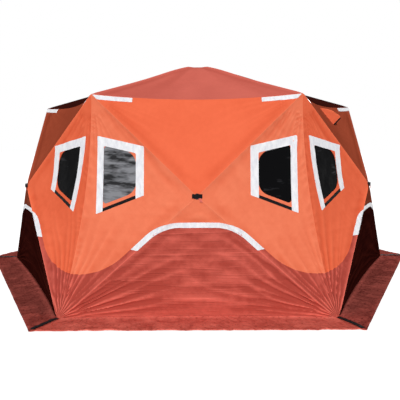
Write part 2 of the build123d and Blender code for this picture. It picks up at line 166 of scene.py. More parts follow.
@dataclass(frozen=True)
class BellCurve:
    """Upper edge of the lower band: a bell with a level crown under the hub."""

    crown_height: float = 0.744
    crown_half: float = 0.279
    knee_half: float = 0.747
    foot_height: float = 0.314
    crown_round: float = 0.385
    foot_round: float = 0.640

    def height(self, across: Array, inset: float = 0.0) -> Array:
        """Height of the edge.

        Args:
            across: Distances from the wall's middle line.
            inset: How far inside the edge to stay.

        Returns:
            Heights above the ground.
        """
        rise = self.crown_height - self.foot_height
        slope = math.atan2(rise, self.knee_half - self.crown_half)
        crown, foot = self.crown_round - inset, self.foot_round + inset
        x = np.abs(across)
        crown_start = self.crown_half - self.crown_round * math.tan(slope / 2)
        crown_end = crown_start + crown * math.sin(slope)
        foot_end = self.knee_half + self.foot_round * math.tan(slope / 2)
        foot_start = foot_end - foot * math.sin(slope)
        top = self.crown_height - self.crown_round
        bottom = self.foot_height + self.foot_round
        round_top = top + np.sqrt(np.clip(crown**2 - (x - crown_start) ** 2, 0, None))
        round_foot = bottom - np.sqrt(np.clip(foot**2 - (x - foot_end) ** 2, 0, None))
        line_top = top + math.sqrt(crown**2 - (crown_end - crown_start) ** 2)
        line = line_top - (x - crown_end) * math.tan(slope)
        flat_top, flat_foot = self.crown_height - inset, self.foot_height - inset
        return np.select(
            [x < crown_start, x < crown_end, x < foot_start, x < foot_end],
            [np.full_like(x, flat_top), round_top, line, round_foot],
            flat_foot,
        )


class Noise:
    """Smooth repeatable noise over a plane."""

    cells = 128

    def __init__(self, seed: int) -> None:
        """Fills the table that the noise reads.

        Args:
            seed: Which noise to make.
        """
        self.table = np.random.default_rng(seed).uniform(-1, 1, (self.cells, self.cells))

    @staticmethod
    def eased(share: Array) -> Array:
        """Share of the way across a cell, eased at both ends."""
        return share * share * share * (share * (6 * share - 15) + 10)

    def __call__(self, x: Array, y: Array) -> Array:
        """Noise from -1 to 1 at points of the plane.

        Args:
            x: First coordinates, one cell a unit.
            y: Second coordinates.

        Returns:
            One value a point.
        """
        column, row = np.floor(x).astype(int), np.floor(y).astype(int)
        u, v = self.eased(x - column), self.eased(y - row)
        left, right = column % self.cells, (column + 1) % self.cells
        low, high = row % self.cells, (row + 1) % self.cells
        near = self.table[left, low] * (1 - u) + self.table[right, low] * u
        far = self.table[left, high] * (1 - u) + self.table[right, high] * u
        return near * (1 - v) + far * v


def smooth_step(low: float, high: float, x: Array) -> Array:
    """Rises smoothly from 0 at low to 1 at high."""
    share = np.clip((x - low) / (high - low), 0, 1)
    return share * share * (3 - 2 * share)


def swell(x: Array, centre: float, width: float) -> Array:
    """Round swell, 1 at its centre and nearly 0 at twice its width away."""
    return np.exp(-(((x - centre) / width) ** 2))


def folds(phase: Array, sharpness: float = 1.0) -> Array:
    """Rounded pleats from -1 to 1 whose crests are narrower than their valleys."""
    return np.clip(1 - 2 * np.abs(np.sin(phase * math.pi)) ** sharpness, -1, 1)


def placed(name: str, data: bpy.types.ID) -> Piece:
    """New object in the scene."""
    made = bpy.data.objects.new(name, data)
    bpy.context.scene.collection.objects.link(made)
    return made


def spun(points: Array, degrees: float) -> Array:
    """Points turned about the hut's axis."""
    turn = math.radians(degrees)
    c, s = math.cos(turn), math.sin(turn)
    return points @ np.array([[c, -s, 0], [s, c, 0], [0, 0, 1]]).T


def grid_net(rows: int, columns: int) -> tuple[Array, Array]:
    """Triangles between the points of a grid that are numbered row by row.

    Args:
        rows: Number of rows.
        columns: Number of points in a row.

    Returns:
        Triangles and directed rim edges.
    """
    n = np.arange(rows * columns).reshape(rows, columns)
    a, b, c, d = (part.ravel() for part in (n[:-1, :-1], n[1:, :-1], n[1:, 1:], n[:-1, 1:]))
    triangles = np.concatenate([np.stack([a, b, c], 1), np.stack([a, c, d], 1)])
    loop = np.concatenate([n[:, 0], n[-1, 1:], n[::-1, -1][1:], n[0, ::-1][1:-1]])
    return triangles, np.stack([loop, np.roll(loop, -1)], 1)


@dataclass(frozen=True)
class Pleats:
    """Pleats that fan out of a corner: how many in a right angle, their height and reach."""

    count: float
    height: float
    length: float
    start: float = 0.12
    sharpness: float = 0.8
    point: float = 0.02
    wander: float = 0.55
    wander_scale: Pair = (7.0, 2.2)
    wander_shift: float = 40.0
    least: float = 0.75
    uneven: float = 0.55
    uneven_scale: float = 5.0
    uneven_shift: float = 9.0


@dataclass(frozen=True)
class CreaseKit:
    """Heights of every kind of crease, in metres, and where each kind lies.

    A scale is how many waves of noise a metre holds across and up. A pair of heights or
    distances is where a crease fades out and where it is full.
    """

    hub_clear: Pair = (0.02, 0.10)
    tight_from: float = 0.022
    broad_from: float = 0.12
    sag: float = 0.006
    sag_scale: float = 2.3
    sag_shift: float = 5.0
    crinkle: float = 0.0010
    crinkle_scale: float = 22.0
    fine_scale: float = 41.0
    fine_share: float = 0.7
    crinkle_top: float = 0.3
    crinkle_side: float = 0.9
    crinkle_foot: float = 0.8
    level: float = 0.0014
    level_scale: Pair = (1.1, 26.0)
    fine_level_scale: Pair = (1.9, 50.0)
    level_heights: Pair = (0.95, 0.55)
    level_sides: Pair = (1.15, 0.5)
    under_hub: float = 0.0055
    under_hub_scale: Pair = (5.0, 42.0)
    under_hub_drop: float = 0.16
    under_hub_height: float = 0.10
    under_hub_half: float = 0.26
    pucker: float = 0.0026
    pucker_scale: Pair = (17.0, 3.0)
    pucker_reach: Pair = (0.34, 0.03)
    pucker_heights: Pair = (0.8, 1.15)
    seam: float = 0.0030
    seam_folds: float = 11.0
    seam_wander: float = 1.5
    seam_scale: Pair = (3.0, 5.0)
    seam_reach: float = 0.09
    seam_clear: float = 0.012
    pole: float = 0.0045
    pole_half: float = 0.011
    trough: float = 0.7
    trough_side: float = 0.045
    trough_half: float = 0.03
    pole_end: float = 0.03
    deepest: float = 0.05
    held: Pair = (0.13, 0.42)
    foot_rise: float = 0.05
    foot_pleats: Pleats = Pleats(14, 0.0080, 0.60, 0.12)
    foot_pleats_head: float = 0.3
    long_pleats: Pleats = Pleats(13, 0.0070, 0.95, 0.20)
    eave_pleats: Pleats = Pleats(15, 0.0060, 0.48, 0.14)
    eave_pleats_top: float = 0.45


@dataclass
class WallSurface:
    """Skin of one wall, as a height map over the view square to it."""

    form: HutForm
    seed: int
    kit: CreaseKit = CreaseKit()
    samples: int = 600
    middle_sides: Pair = (0.95, 0.35)
    shown_slack: float = 0.8
    lay_scale: float = 100.0
    directions: Array = field(init=False)
    edge: Array = field(init=False)

    def __post_init__(self) -> None:
        """Lays out the wall's outline round its hub and the noise of its creases."""
        form = self.form
        right, left = -WALL_TURN, -2 * WALL_TURN
        eaves = [form.corner(form.eave_radius, b, form.eave_height) for b in (right, left)]
        feet = [form.corner(form.base_radius, b, -form.foot_depth) for b in (left, right)]
        runs = [
            (eaves[0], eaves[1], form.eave_sag),
            (eaves[1], feet[0], form.seam_sag),
            (feet[0], feet[1], form.foot_sag),
            (feet[1], eaves[0], form.seam_sag),
        ]
        names = ("eave_right", "eave_left", "foot_left", "foot_right")
        self.corners = dict(zip(names, (*eaves, *feet)))
        self.edges = [form.sagging_edge(*run, self.samples) for run in runs]
        edge = np.concatenate(self.edges)
        angle = np.unwrap(np.arctan2(edge[:, 2] - form.hub_height, edge[:, 0]))
        self.directions, self.edge = angle, edge
        self.ridges = np.unwrap([angle[run * self.samples] for run in range(len(runs))])
        self.noises = [Noise(self.seed * 100 + n) for n in range(10)]

    @classmethod
    def of(cls, form: HutForm, wall: WallName) -> "WallSurface":
        """Surface of one wall, with creases of its own."""
        return cls(form, 11 + wall.value)

    @property
    def ground_half(self) -> float:
        """Half of the wall's width on the ground."""
        seam = self.edges[3]
        return np.interp(0.0, seam[:, 2], seam[:, 0])

    def noise(self, which: int, x: Array, z: Array, scale: Pair) -> Array:
        """One of the wall's noises, at so many waves a metre."""
        return self.noises[which](x * scale[0], z * scale[1])

    def at_foot(self, angle: Array) -> Array:
        """Which directions from the hub point between the two foot ridges."""
        return (angle >= self.ridges[2]) & (angle < self.ridges[3])

    def outward(self, places: Array) -> tuple[Array, Array, Array, Array]:
        """Skin points with no creases.

        Args:
            places: Across and height, one place a row.

        Returns:
            The points, each place's share of the way from hub to edge, its direction, and its
            distance from the edge.
        """
        x, z = places[:, 0], places[:, 1] - self.form.hub_height
        angle = np.arctan2(z, x)
        start = self.directions[0]
        angle = (angle - start) % (2 * math.pi) + start
        reach = [np.interp(angle, self.directions, self.edge[:, axis]) for axis in range(3)]
        span = np.hypot(reach[0], reach[2] - self.form.hub_height)
        share = np.hypot(x, z) / span
        y = -self.form.hub_reach + share * (reach[1] + self.form.hub_reach)
        return np.stack([x, y, places[:, 1]], 1), share, angle, (1 - share) * span

    def ridge_distance(self, places: Array) -> Array:
        """Distance from each place to the nearest pole ridge.

        Args:
            places: Across and height, one place a row.

        Returns:
            A distance in metres at each place.
        """
        x, z = places[:, 0], places[:, 1] - self.form.hub_height
        away = np.full(len(places), np.inf)
        for ridge in self.ridges:
            along = x * math.cos(ridge) + z * math.sin(ridge)
            side = np.abs(-x * math.sin(ridge) + z * math.cos(ridge))
            away = np.minimum(away, np.where(along > 0, side, np.hypot(x, z)))
        return away

    def fan(self, places: Array, corner: str, pleats: Pleats, noise: int) -> Array:
        """Pleats that fan out from a corner and die away.

        Args:
            places: Across and height, one place a row.
            corner: Which corner they start from.
            pleats: How many and how long they are.
            noise: Which of the wall's noises makes them uneven.

        Returns:
            A height in metres at each place.
        """
        at = self.corners[corner]
        x, z = places[:, 0] - at[0], places[:, 1] - max(at[2], 0.0)
        away, angle = np.hypot(x, z), np.arctan2(z, x)
        turns, reach = pleats.wander_scale
        wander = self.noises[noise](angle * turns + pleats.wander_shift, away * reach)
        pleat = folds(angle * pleats.count / (math.pi / 2) + pleats.wander * wander, pleats.sharpness)
        keep = smooth_step(pleats.point, pleats.start, away) * swell(away, 0.0, pleats.length)
        uneven = self.noises[noise](angle * pleats.uneven_scale, away + pleats.uneven_shift)
        return pleats.height * pleat * keep * (pleats.least + pleats.uneven * uneven)

    def creases(self, places: Array, angle: Array, seam: Array) -> tuple[Array, Array]:
        """Height of the cloth's creases over the plain skin.

        Args:
            places: Across and height, one place a row.
            angle: Direction from the hub.
            seam: Distance from the wall's edge.

        Returns:
            Heights in metres, outwards, and the share of them that is broad slack.
        """
        x, z = places[:, 0], places[:, 1]
        kit, hub_height = self.kit, self.form.hub_height
        top, foot = angle < self.ridges[1], self.at_foot(angle)
        side = ~(top | foot)
        ridge = self.ridge_distance(places)
        hub = smooth_step(*kit.hub_clear, np.hypot(x, z - hub_height))
        close = np.minimum(ridge, seam)
        tight = smooth_step(0.0, kit.tight_from, close) * hub
        broad = smooth_step(0.0, kit.broad_from, close) * hub
        slack = kit.sag * self.noises[0](x * kit.sag_scale + kit.sag_shift, z * kit.sag_scale) * broad
        fine = self.noise(1, x, z, (kit.crinkle_scale,) * 2)
        fine = fine + kit.fine_share * self.noise(2, x, z, (kit.fine_scale,) * 2)
        where = kit.crinkle_top * top + kit.crinkle_side * side + kit.crinkle_foot * foot
        height = slack + kit.crinkle * fine * where * tight
        # Level wrinkles where the lower band is stretched between its corners.
        low = smooth_step(*kit.level_heights, z) * smooth_step(*kit.level_sides, np.abs(x))
        level = self.noise(3, x, z, kit.level_scale)
        level = level + kit.fine_share * self.noise(4, x, z, kit.fine_level_scale)
        height = height + kit.level * level * low * tight
        # Short level puckers just under the hub.
        under = swell(z, hub_height - kit.under_hub_drop, kit.under_hub_height)
        under = under * swell(x, 0.0, kit.under_hub_half)
        height = height + kit.under_hub * self.noise(3, x, z, kit.under_hub_scale) * under * tight
        # Diagonal puckers beside the poles.
        pucker = self.noise(5, x + z, x - z, kit.pucker_scale) * smooth_step(*kit.pucker_reach, ridge) * side
        height = height + kit.pucker * pucker * smooth_step(*kit.pucker_heights, z) * tight
        for corner in ("foot_left", "foot_right"):
            short = self.fan(places, corner, kit.foot_pleats, 6) * (side | (z < kit.foot_pleats_head))
            height = height + short * tight
            height = height + self.fan(places, corner, kit.long_pleats, 8) * foot * tight
        for corner in ("eave_left", "eave_right"):
            short = self.fan(places, corner, kit.eave_pleats, 7) * (side + kit.eave_pleats_top * top)
            height = height + short * tight
        # Small folds along the seams.
        beside = smooth_step(kit.seam_reach, 0.0, seam) * smooth_step(0.0, kit.seam_clear, seam) * side
        wander = kit.seam_wander * self.noise(9, x, z, kit.seam_scale)
        height = height + kit.seam * folds(z * kit.seam_folds + wander) * beside
        # Cloth stands up over the poles and falls away beside them.
        over = swell(ridge, 0.0, kit.pole_half) - kit.trough * swell(ridge, kit.trough_side, kit.trough_half)
        height = height + kit.pole * over * smooth_step(0.0, kit.pole_end, seam) * hub
        # Corners, the hub and the foot are held, so no crease sinks in there.
        held = [*(corner[[0, 2]] for corner in self.corners.values()), (0.0, hub_height)]
        gap = np.min([np.hypot(*(places - spot).T) for spot in held], axis=0)
        height = np.maximum(height, -kit.deepest * smooth_step(*kit.held, gap))
        return height * smooth_step(0.0, kit.foot_rise, z), slack

    def place(self, places: Array, lift: float) -> tuple[Array, Array]:
        """Points on the creased skin, or off it.

        Args:
            places: Across and height, one place a row.
            lift: Height over the skin, outwards.

        Returns:
            Points, one a row, and what the finishes read there: the crease's height in
            centimetres, the share of the lower band's middle, and the distance to a seam.
        """
        skin, _, angle, seam = self.outward(places)
        crease, slack = self.creases(places, angle, seam)
        away = (skin - self.form.centre) / self.form.hub_reach
        points = skin + away * (crease + lift)[:, None]
        points[:, 2] = np.where(places[:, 1] <= 1e-4, 0.0, points[:, 2])
        middle = self.at_foot(angle) * smooth_step(*self.middle_sides, np.abs(places[:, 0]))
        near = np.minimum(self.ridge_distance(places), seam)
        # The crease height without the broad slack, which the finishes paint as shade in hollows and
        # highlight on crests.
        shown = (crease - self.shown_slack * slack) * self.lay_scale
        return points, np.stack([shown, middle, near], 1)


@dataclass
@dataclass
class Cut:
    """Flat outline of a piece of cloth, ready to be laid on a surface."""

    outline: Array
    holes: tuple[Array, ...] = ()
    creases: tuple[Array, ...] = ()
    spacing: float = 0.016
    fine_spots: tuple[Pair, ...] = ()
    fine_reach: float = 0.62
    fine_spacing: float = 0.009
    clear_share: float = 0.55

    @staticmethod
    def stepped(line: Array, spacing: float, closed: bool = True) -> Array:
        """The same line with points no further apart than the spacing.

        Args:
            line: Points, one a row.
            spacing: The widest step.
            closed: Whether the last point joins the first.

        Returns:
            The line's old and new points.
        """
        ends = np.roll(line, -1, axis=0) if closed else line[1:]
        starts = line if closed else line[:-1]
        out = []
        for a, b in zip(starts, ends):
            steps = max(1, math.ceil(np.linalg.norm(b - a) / spacing - 1e-6))
            out.append(a + (b - a) * (np.arange(steps) / steps)[:, None])
        if not closed:
            out.append(line[-1:])
        return np.concatenate(out)

    @staticmethod
    def inside(places: Array, ring: Array) -> Array:
        """Which places lie inside a ring.

        Args:
            places: Places, one a row.
            ring: Closed outline.

        Returns:
            One truth value a place.
        """
        x, y = places[:, 0], places[:, 1]
        hit = np.zeros(len(places), bool)
        for (x0, y0), (x1, y1) in zip(ring, np.roll(ring, -1, axis=0)):
            if y0 == y1:
                continue
            crosses = (y0 > y) != (y1 > y)
            hit ^= crosses & (x < (x1 - x0) * (y - y0) / (y1 - y0) + x0)
        return hit

    def spot_distance(self, places: Array) -> Array:
        """Distance from each place to the nearest of the finely meshed spots."""
        return np.min([np.hypot(*(places - spot).T) for spot in self.fine_spots], axis=0)

    @staticmethod
    def lattice(ring: Array, spacing: float) -> Array:
        """Staggered rows of places over a ring's box.

        Args:
            ring: Closed outline.
            spacing: Distance between places.

        Returns:
            Places, one a row.
        """
        low, high = ring.min(0), ring.max(0)
        row_share = 0.866
        xs = np.arange(low[0], high[0], spacing)
        ys = np.arange(low[1], high[1], spacing * row_share)
        grid = np.stack(np.meshgrid(xs, ys), -1)
        grid[1::2, :, 0] += spacing / 2
        return grid.reshape(-1, 2)

    def within(self, places: Array, rings: list[Array]) -> Array:
        """Which places lie inside the first ring and outside the others.

        Args:
            places: Places, one a row.
            rings: The outline and its holes.

        Returns:
            One truth value a place.
        """
        keep = self.inside(places, rings[0])
        for ring in rings[1:]:
            keep &= ~self.inside(places, ring)
        return keep

    def filling(self, rings: list[Array]) -> Array:
        """Staggered places inside the rings, closer together near the fine spots.

        Args:
            rings: The outline and its holes.

        Returns:
            Places, one a row.
        """
        grid = self.lattice(rings[0], self.spacing)
        if self.fine_spots:
            fine = self.lattice(rings[0], self.fine_spacing)
            fine = fine[self.spot_distance(fine) <= self.fine_reach]
            coarse = grid[self.spot_distance(grid) > self.fine_reach + 0.5 * self.spacing]
            grid = np.concatenate([coarse, fine])
        return grid[self.within(grid, rings)]

    def clear_of(self, drawn: Array, grid: Array) -> Array:
        """The places of a grid that don't crowd the drawn points.

        Args:
            drawn: Points of the rings and creases.
            grid: Places between them.

        Returns:
            The places that are kept.
        """
        cell = {}
        for n, (x, y) in enumerate(drawn):
            cell.setdefault((int(x // self.spacing), int(y // self.spacing)), []).append(n)
        gap = self.clear_share * (self.fine_spacing if self.fine_spots else self.spacing)
        clear = []
        for x, y in grid:
            i, j = int(x // self.spacing), int(y // self.spacing)
            near = [m for a in (-1, 0, 1) for b in (-1, 0, 1) for m in cell.get((i + a, j + b), ())]
            clear.append(not near or np.min(np.hypot(*(drawn[near] - (x, y)).T)) > gap)
        return grid[np.array(clear, bool)]

    @staticmethod
    def rim(triangles: Array) -> Array:
        """Directed edges that only one triangle has."""
        pairs = np.concatenate([triangles[:, [0, 1]], triangles[:, [1, 2]], triangles[:, [2, 0]]])
        known = {tuple(pair) for pair in pairs}
        return np.array([pair for pair in known if (pair[1], pair[0]) not in known])

    def mesh(self) -> Net:
        """Triangles that fill the outline.

        Returns:
            Places, triangles, and the rim's directed edges.
        """
        rings = [self.stepped(ring, self.spacing) for ring in (self.outline, *self.holes)]
        lines = [self.stepped(line, self.spacing, closed=False) for line in self.creases]
        drawn = np.concatenate([*rings, *lines])
        points = np.concatenate([drawn, self.clear_of(drawn, self.filling(rings))])
        edges, start = [], 0
        for ring in rings:
            count = len(ring)
            edges += [(start + n, start + (n + 1) % count) for n in range(count)]
            start += count
        for line in lines:
            edges += [(start + n, start + n + 1) for n in range(len(line) - 1)]
            start += len(line)
        out = delaunay_2d_cdt([Vector(p) for p in points], edges, [], 0, 1e-6, False)
        places = np.array([tuple(v) for v in out[0]])
        triangles = np.array([f for f in out[2] if len(f) == 3])
        triangles = triangles[self.within(places[triangles].mean(1), rings)]
        a, b, c = (places[triangles[:, n]] for n in range(3))
        turned = np.cross(b - a, c - a) < 0
        triangles[turned] = triangles[turned][:, ::-1]
        used, back = np.unique(triangles, return_inverse=True)
        places, triangles = places[used], back.reshape(-1, 3)
        return places, triangles, self.rim(triangles)


@dataclass
class Sewing:
    """Makes objects from cuts of cloth."""

    turn: int = 0
    sharp_from: float = 50.0

    @staticmethod
    def shell(outer: Array, inner: Array, triangles: Array, rim: Array) -> tuple[Array, Array]:
        """Closed skin between two copies of the same triangles.

        Args:
            outer: Points of the outer face.
            inner: Points of the inner face.
            triangles: Triangles, seen from outside.
            rim: Directed rim edges.

        Returns:
            All points and triangles.
        """
        count = len(outer)
        back = triangles[:, ::-1] + count
        a, b = rim[:, 0], rim[:, 1]
        walls = np.concatenate([np.stack([b, a, a + count], 1), np.stack([b, a + count, b + count], 1)])
        return np.concatenate([outer, inner]), np.concatenate([triangles, back, walls])

    def piece(self, name: str, parts: list[Shell]) -> Piece:
        """One object from several shells, turned to its wall.

        Args:
            name: The object's name.
            parts: Points, triangles, and flat places of each shell.

        Returns:
            The new object.
        """
        counts = [len(points) for points, _, _ in parts]
        starts = np.cumsum([0, *counts[:-1]])
        points = spun(np.concatenate([part[0] for part in parts]), WALL_TURN * self.turn)
        faces = np.concatenate([part[1] + start for part, start in zip(parts, starts)])
        flats = np.concatenate([part[2] for part in parts])
        mesh = bpy.data.meshes.new(name)
        mesh.vertices.add(len(points))
        mesh.vertices.foreach_set("co", points.astype(np.float32).ravel())
        mesh.loops.add(faces.size)
        mesh.loops.foreach_set("vertex_index", faces.astype(np.int32).ravel())
        mesh.polygons.add(len(faces))
        mesh.polygons.foreach_set("loop_start", np.arange(0, faces.size, 3, dtype=np.int32))
        mesh.polygons.foreach_set("loop_total", np.full(len(faces), 3, np.int32))
        mesh.update(calc_edges=True)
        mesh.validate()
        mesh.shade_smooth()
        mesh.set_sharp_from_angle(angle=math.radians(self.sharp_from))
        for name_of, columns in (("cut", flats[:, :3]), ("lay", flats[:, 3:])):
            attribute = mesh.attributes.new(name_of, "FLOAT_VECTOR", "POINT")
            attribute.data.foreach_set("vector", columns.astype(np.float32).ravel())
        return placed(name, mesh)


@dataclass
class Field:
    """A shader socket that takes part in sums."""

    tree: bpy.types.NodeTree
    socket: Socket

    def _sum(self, operation: str, *terms: "Field | float") -> "Field":
        """A Math node over the terms.

        Args:
            operation: What it does.
            *terms: Its inputs in order.

        Returns:
            The node's output.
        """
        node = self.tree.nodes.new("ShaderNodeMath")
        node.operation = operation
        for slot, term in zip(node.inputs, terms):
            if isinstance(term, Field):
                self.tree.links.new(term.socket, slot)
            else:
                slot.default_value = term
        return Field(self.tree, node.outputs[0])

    def __add__(self, other: "Field | float") -> "Field":
        """Sum."""
        return self._sum("ADD", self, other)

    def __radd__(self, other: float) -> "Field":
        """Sum, from the right."""
        return self._sum("ADD", other, self)

    def __sub__(self, other: "Field | float") -> "Field":
        """Difference."""
        return self._sum("SUBTRACT", self, other)

    def __rsub__(self, other: float) -> "Field":
        """Difference, from the right."""
        return self._sum("SUBTRACT", other, self)

    def __mul__(self, other: "Field | float") -> "Field":
        """Product."""
        return self._sum("MULTIPLY", self, other)

    def __pow__(self, other: "Field | float") -> "Field":
        """Power."""
        return self._sum("POWER", self, other)

    def size(self) -> "Field":
        """Value without its sign."""
        return self._sum("ABSOLUTE", self)

    def sine(self) -> "Field":
        """Sine."""
        return self._sum("SINE", self)

    def bearing(self, across: "Field") -> "Field":
        """Angle of a point that is this high and so far across."""
        return self._sum("ARCTAN2", self, across)

    def least(self, other: "Field | float") -> "Field":
        """The lesser of two."""
        return self._sum("MINIMUM", self, other)

    def most(self, other: "Field | float") -> "Field":
        """The greater of two."""
        return self._sum("MAXIMUM", self, other)

    def held(self) -> "Field":
        """Value held between 0 and 1."""
        return self.most(0.0).least(1.0)


class Paint:
    """Node tree of one material or sky and the ways to add to it."""

    def __init__(self, owner: bpy.types.Material | bpy.types.World) -> None:
        """Starts the owner with an empty tree.

        Args:
            owner: The new material or sky.
        """
        self.owner = owner
        owner.use_nodes = True
        self.tree = owner.node_tree
        self.tree.nodes.clear()

    @classmethod
    def named(cls, name: str) -> "Paint":
        """Starts a new material."""
        return cls(bpy.data.materials.new(name))

    def node(self, kind: str, settings: dict | None = None, **values: object) -> bpy.types.Node:
        """Adds a node.

        Args:
            kind: The node's type without its ShaderNode prefix.
            settings: Properties that are set first.
            **values: Values or links of its sockets, spaces as underscores.

        Returns:
            The node.
        """
        node = self.tree.nodes.new("ShaderNode" + kind)
        for key, value in (settings or {}).items():
            if key == "stops":
                ramp = node.color_ramp
                while len(ramp.elements) < len(value):
                    ramp.elements.new(0.5)
                for element, (position, colour) in zip(ramp.elements, value):
                    element.position, element.color = position, (*colour, 1.0)
            else:
                setattr(node, key, value)
        for key, value in values.items():
            name = key.replace("_", " ")
            slot = next(s for s in node.inputs if s.name == name and s.enabled)
            self.feed(slot, value)
        return node

    def feed(self, slot: Socket, value: object) -> None:
        """Links or sets one socket.

        Args:
            slot: The socket.
            value: What it is linked to or set to.
        """
        if isinstance(value, Field):
            value = value.socket
        if isinstance(value, Socket):
            self.tree.links.new(value, slot)
        else:
            slot.default_value = value

    def joined(self, kind: str, *values: object) -> Socket:
        """Output of a node whose sockets are fed in order, since several share a name.

        Args:
            kind: The node's type without its ShaderNode prefix.
            *values: Values or links of its sockets.

        Returns:
            The node's first output.
        """
        node = self.tree.nodes.new("ShaderNode" + kind)
        for slot, value in zip(node.inputs, values):
            self.feed(slot, value)
        return node.outputs[0]

    def number(self, socket: Socket) -> Field:
        """A socket as a field."""
        return Field(self.tree, socket)

    def cut(self) -> Socket:
        """Place on the flat cut, in metres."""
        return self.node("Attribute", {"attribute_name": "cut"}).outputs["Vector"]

    def lay(self) -> tuple[Field, Field, Field]:
        """How the cloth lies: crease height, share of the lower band's middle, seam distance, which the
        finishes read for painted shade and highlight.
        """
        node = self.node("Attribute", {"attribute_name": "lay"})
        split = self.node("SeparateXYZ", None, Vector=node.outputs["Vector"])
        first, second, third = (self.number(output) for output in split.outputs)
        return first, second, third

    def here(self) -> Socket:
        """Place on the object, in metres."""
        return self.node("TexCoord").outputs["Object"]

    def grain(
        self, at: Socket, scale: float, detail: float = 3.0, rough: float = 0.5
    ) -> Field:
        """Noise about 0.5 at a scale of features to a metre."""
        node = self.node("TexNoise", None, Vector=at, Scale=scale, Detail=detail, Roughness=rough)
        return self.number(node.outputs[0])

    def stretched(
        self, at: Socket, scale: Triple, turn: float = 0.0
    ) -> Socket:
        """Places scaled along each axis after a turn about the cut's normal."""
        return self.node("Mapping", None, Vector=at, Scale=scale, Rotation=(0, 0, turn)).outputs[0]

    def blend(self, mask: Field, low: Triple, high: Triple) -> Socket:
        """Colour between two, by a mask.

        Args:
            mask: 0 for the low colour, 1 for the high one.
            low: First colour.
            high: Second colour.

        Returns:
            The blended colour.
        """
        node = self.tree.nodes.new("ShaderNodeMix")
        node.data_type = "RGBA"
        factor, first, second, colour = 0, 6, 7, 2
        self.feed(node.inputs[factor], mask)
        self.feed(node.inputs[first], (*low, 1.0))
        self.feed(node.inputs[second], (*high, 1.0))
        return node.outputs[colour]

    def bump(self, height: Field, strength: float, distance: float) -> Socket:
        """Normal from a height."""
        return self.node("Bump", None, Height=height, Strength=strength, Distance=distance).outputs[0]

    def finish(self, **values: object) -> bpy.types.Material:
        """Closes the tree with a shader.

        Args:
            **values: The shader's sockets, spaces as underscores.

        Returns:
            The material.
        """
        shader = self.node("BsdfPrincipled", None, **values)
        self.node("OutputMaterial", None, Surface=shader.outputs[0])
        return self.owner


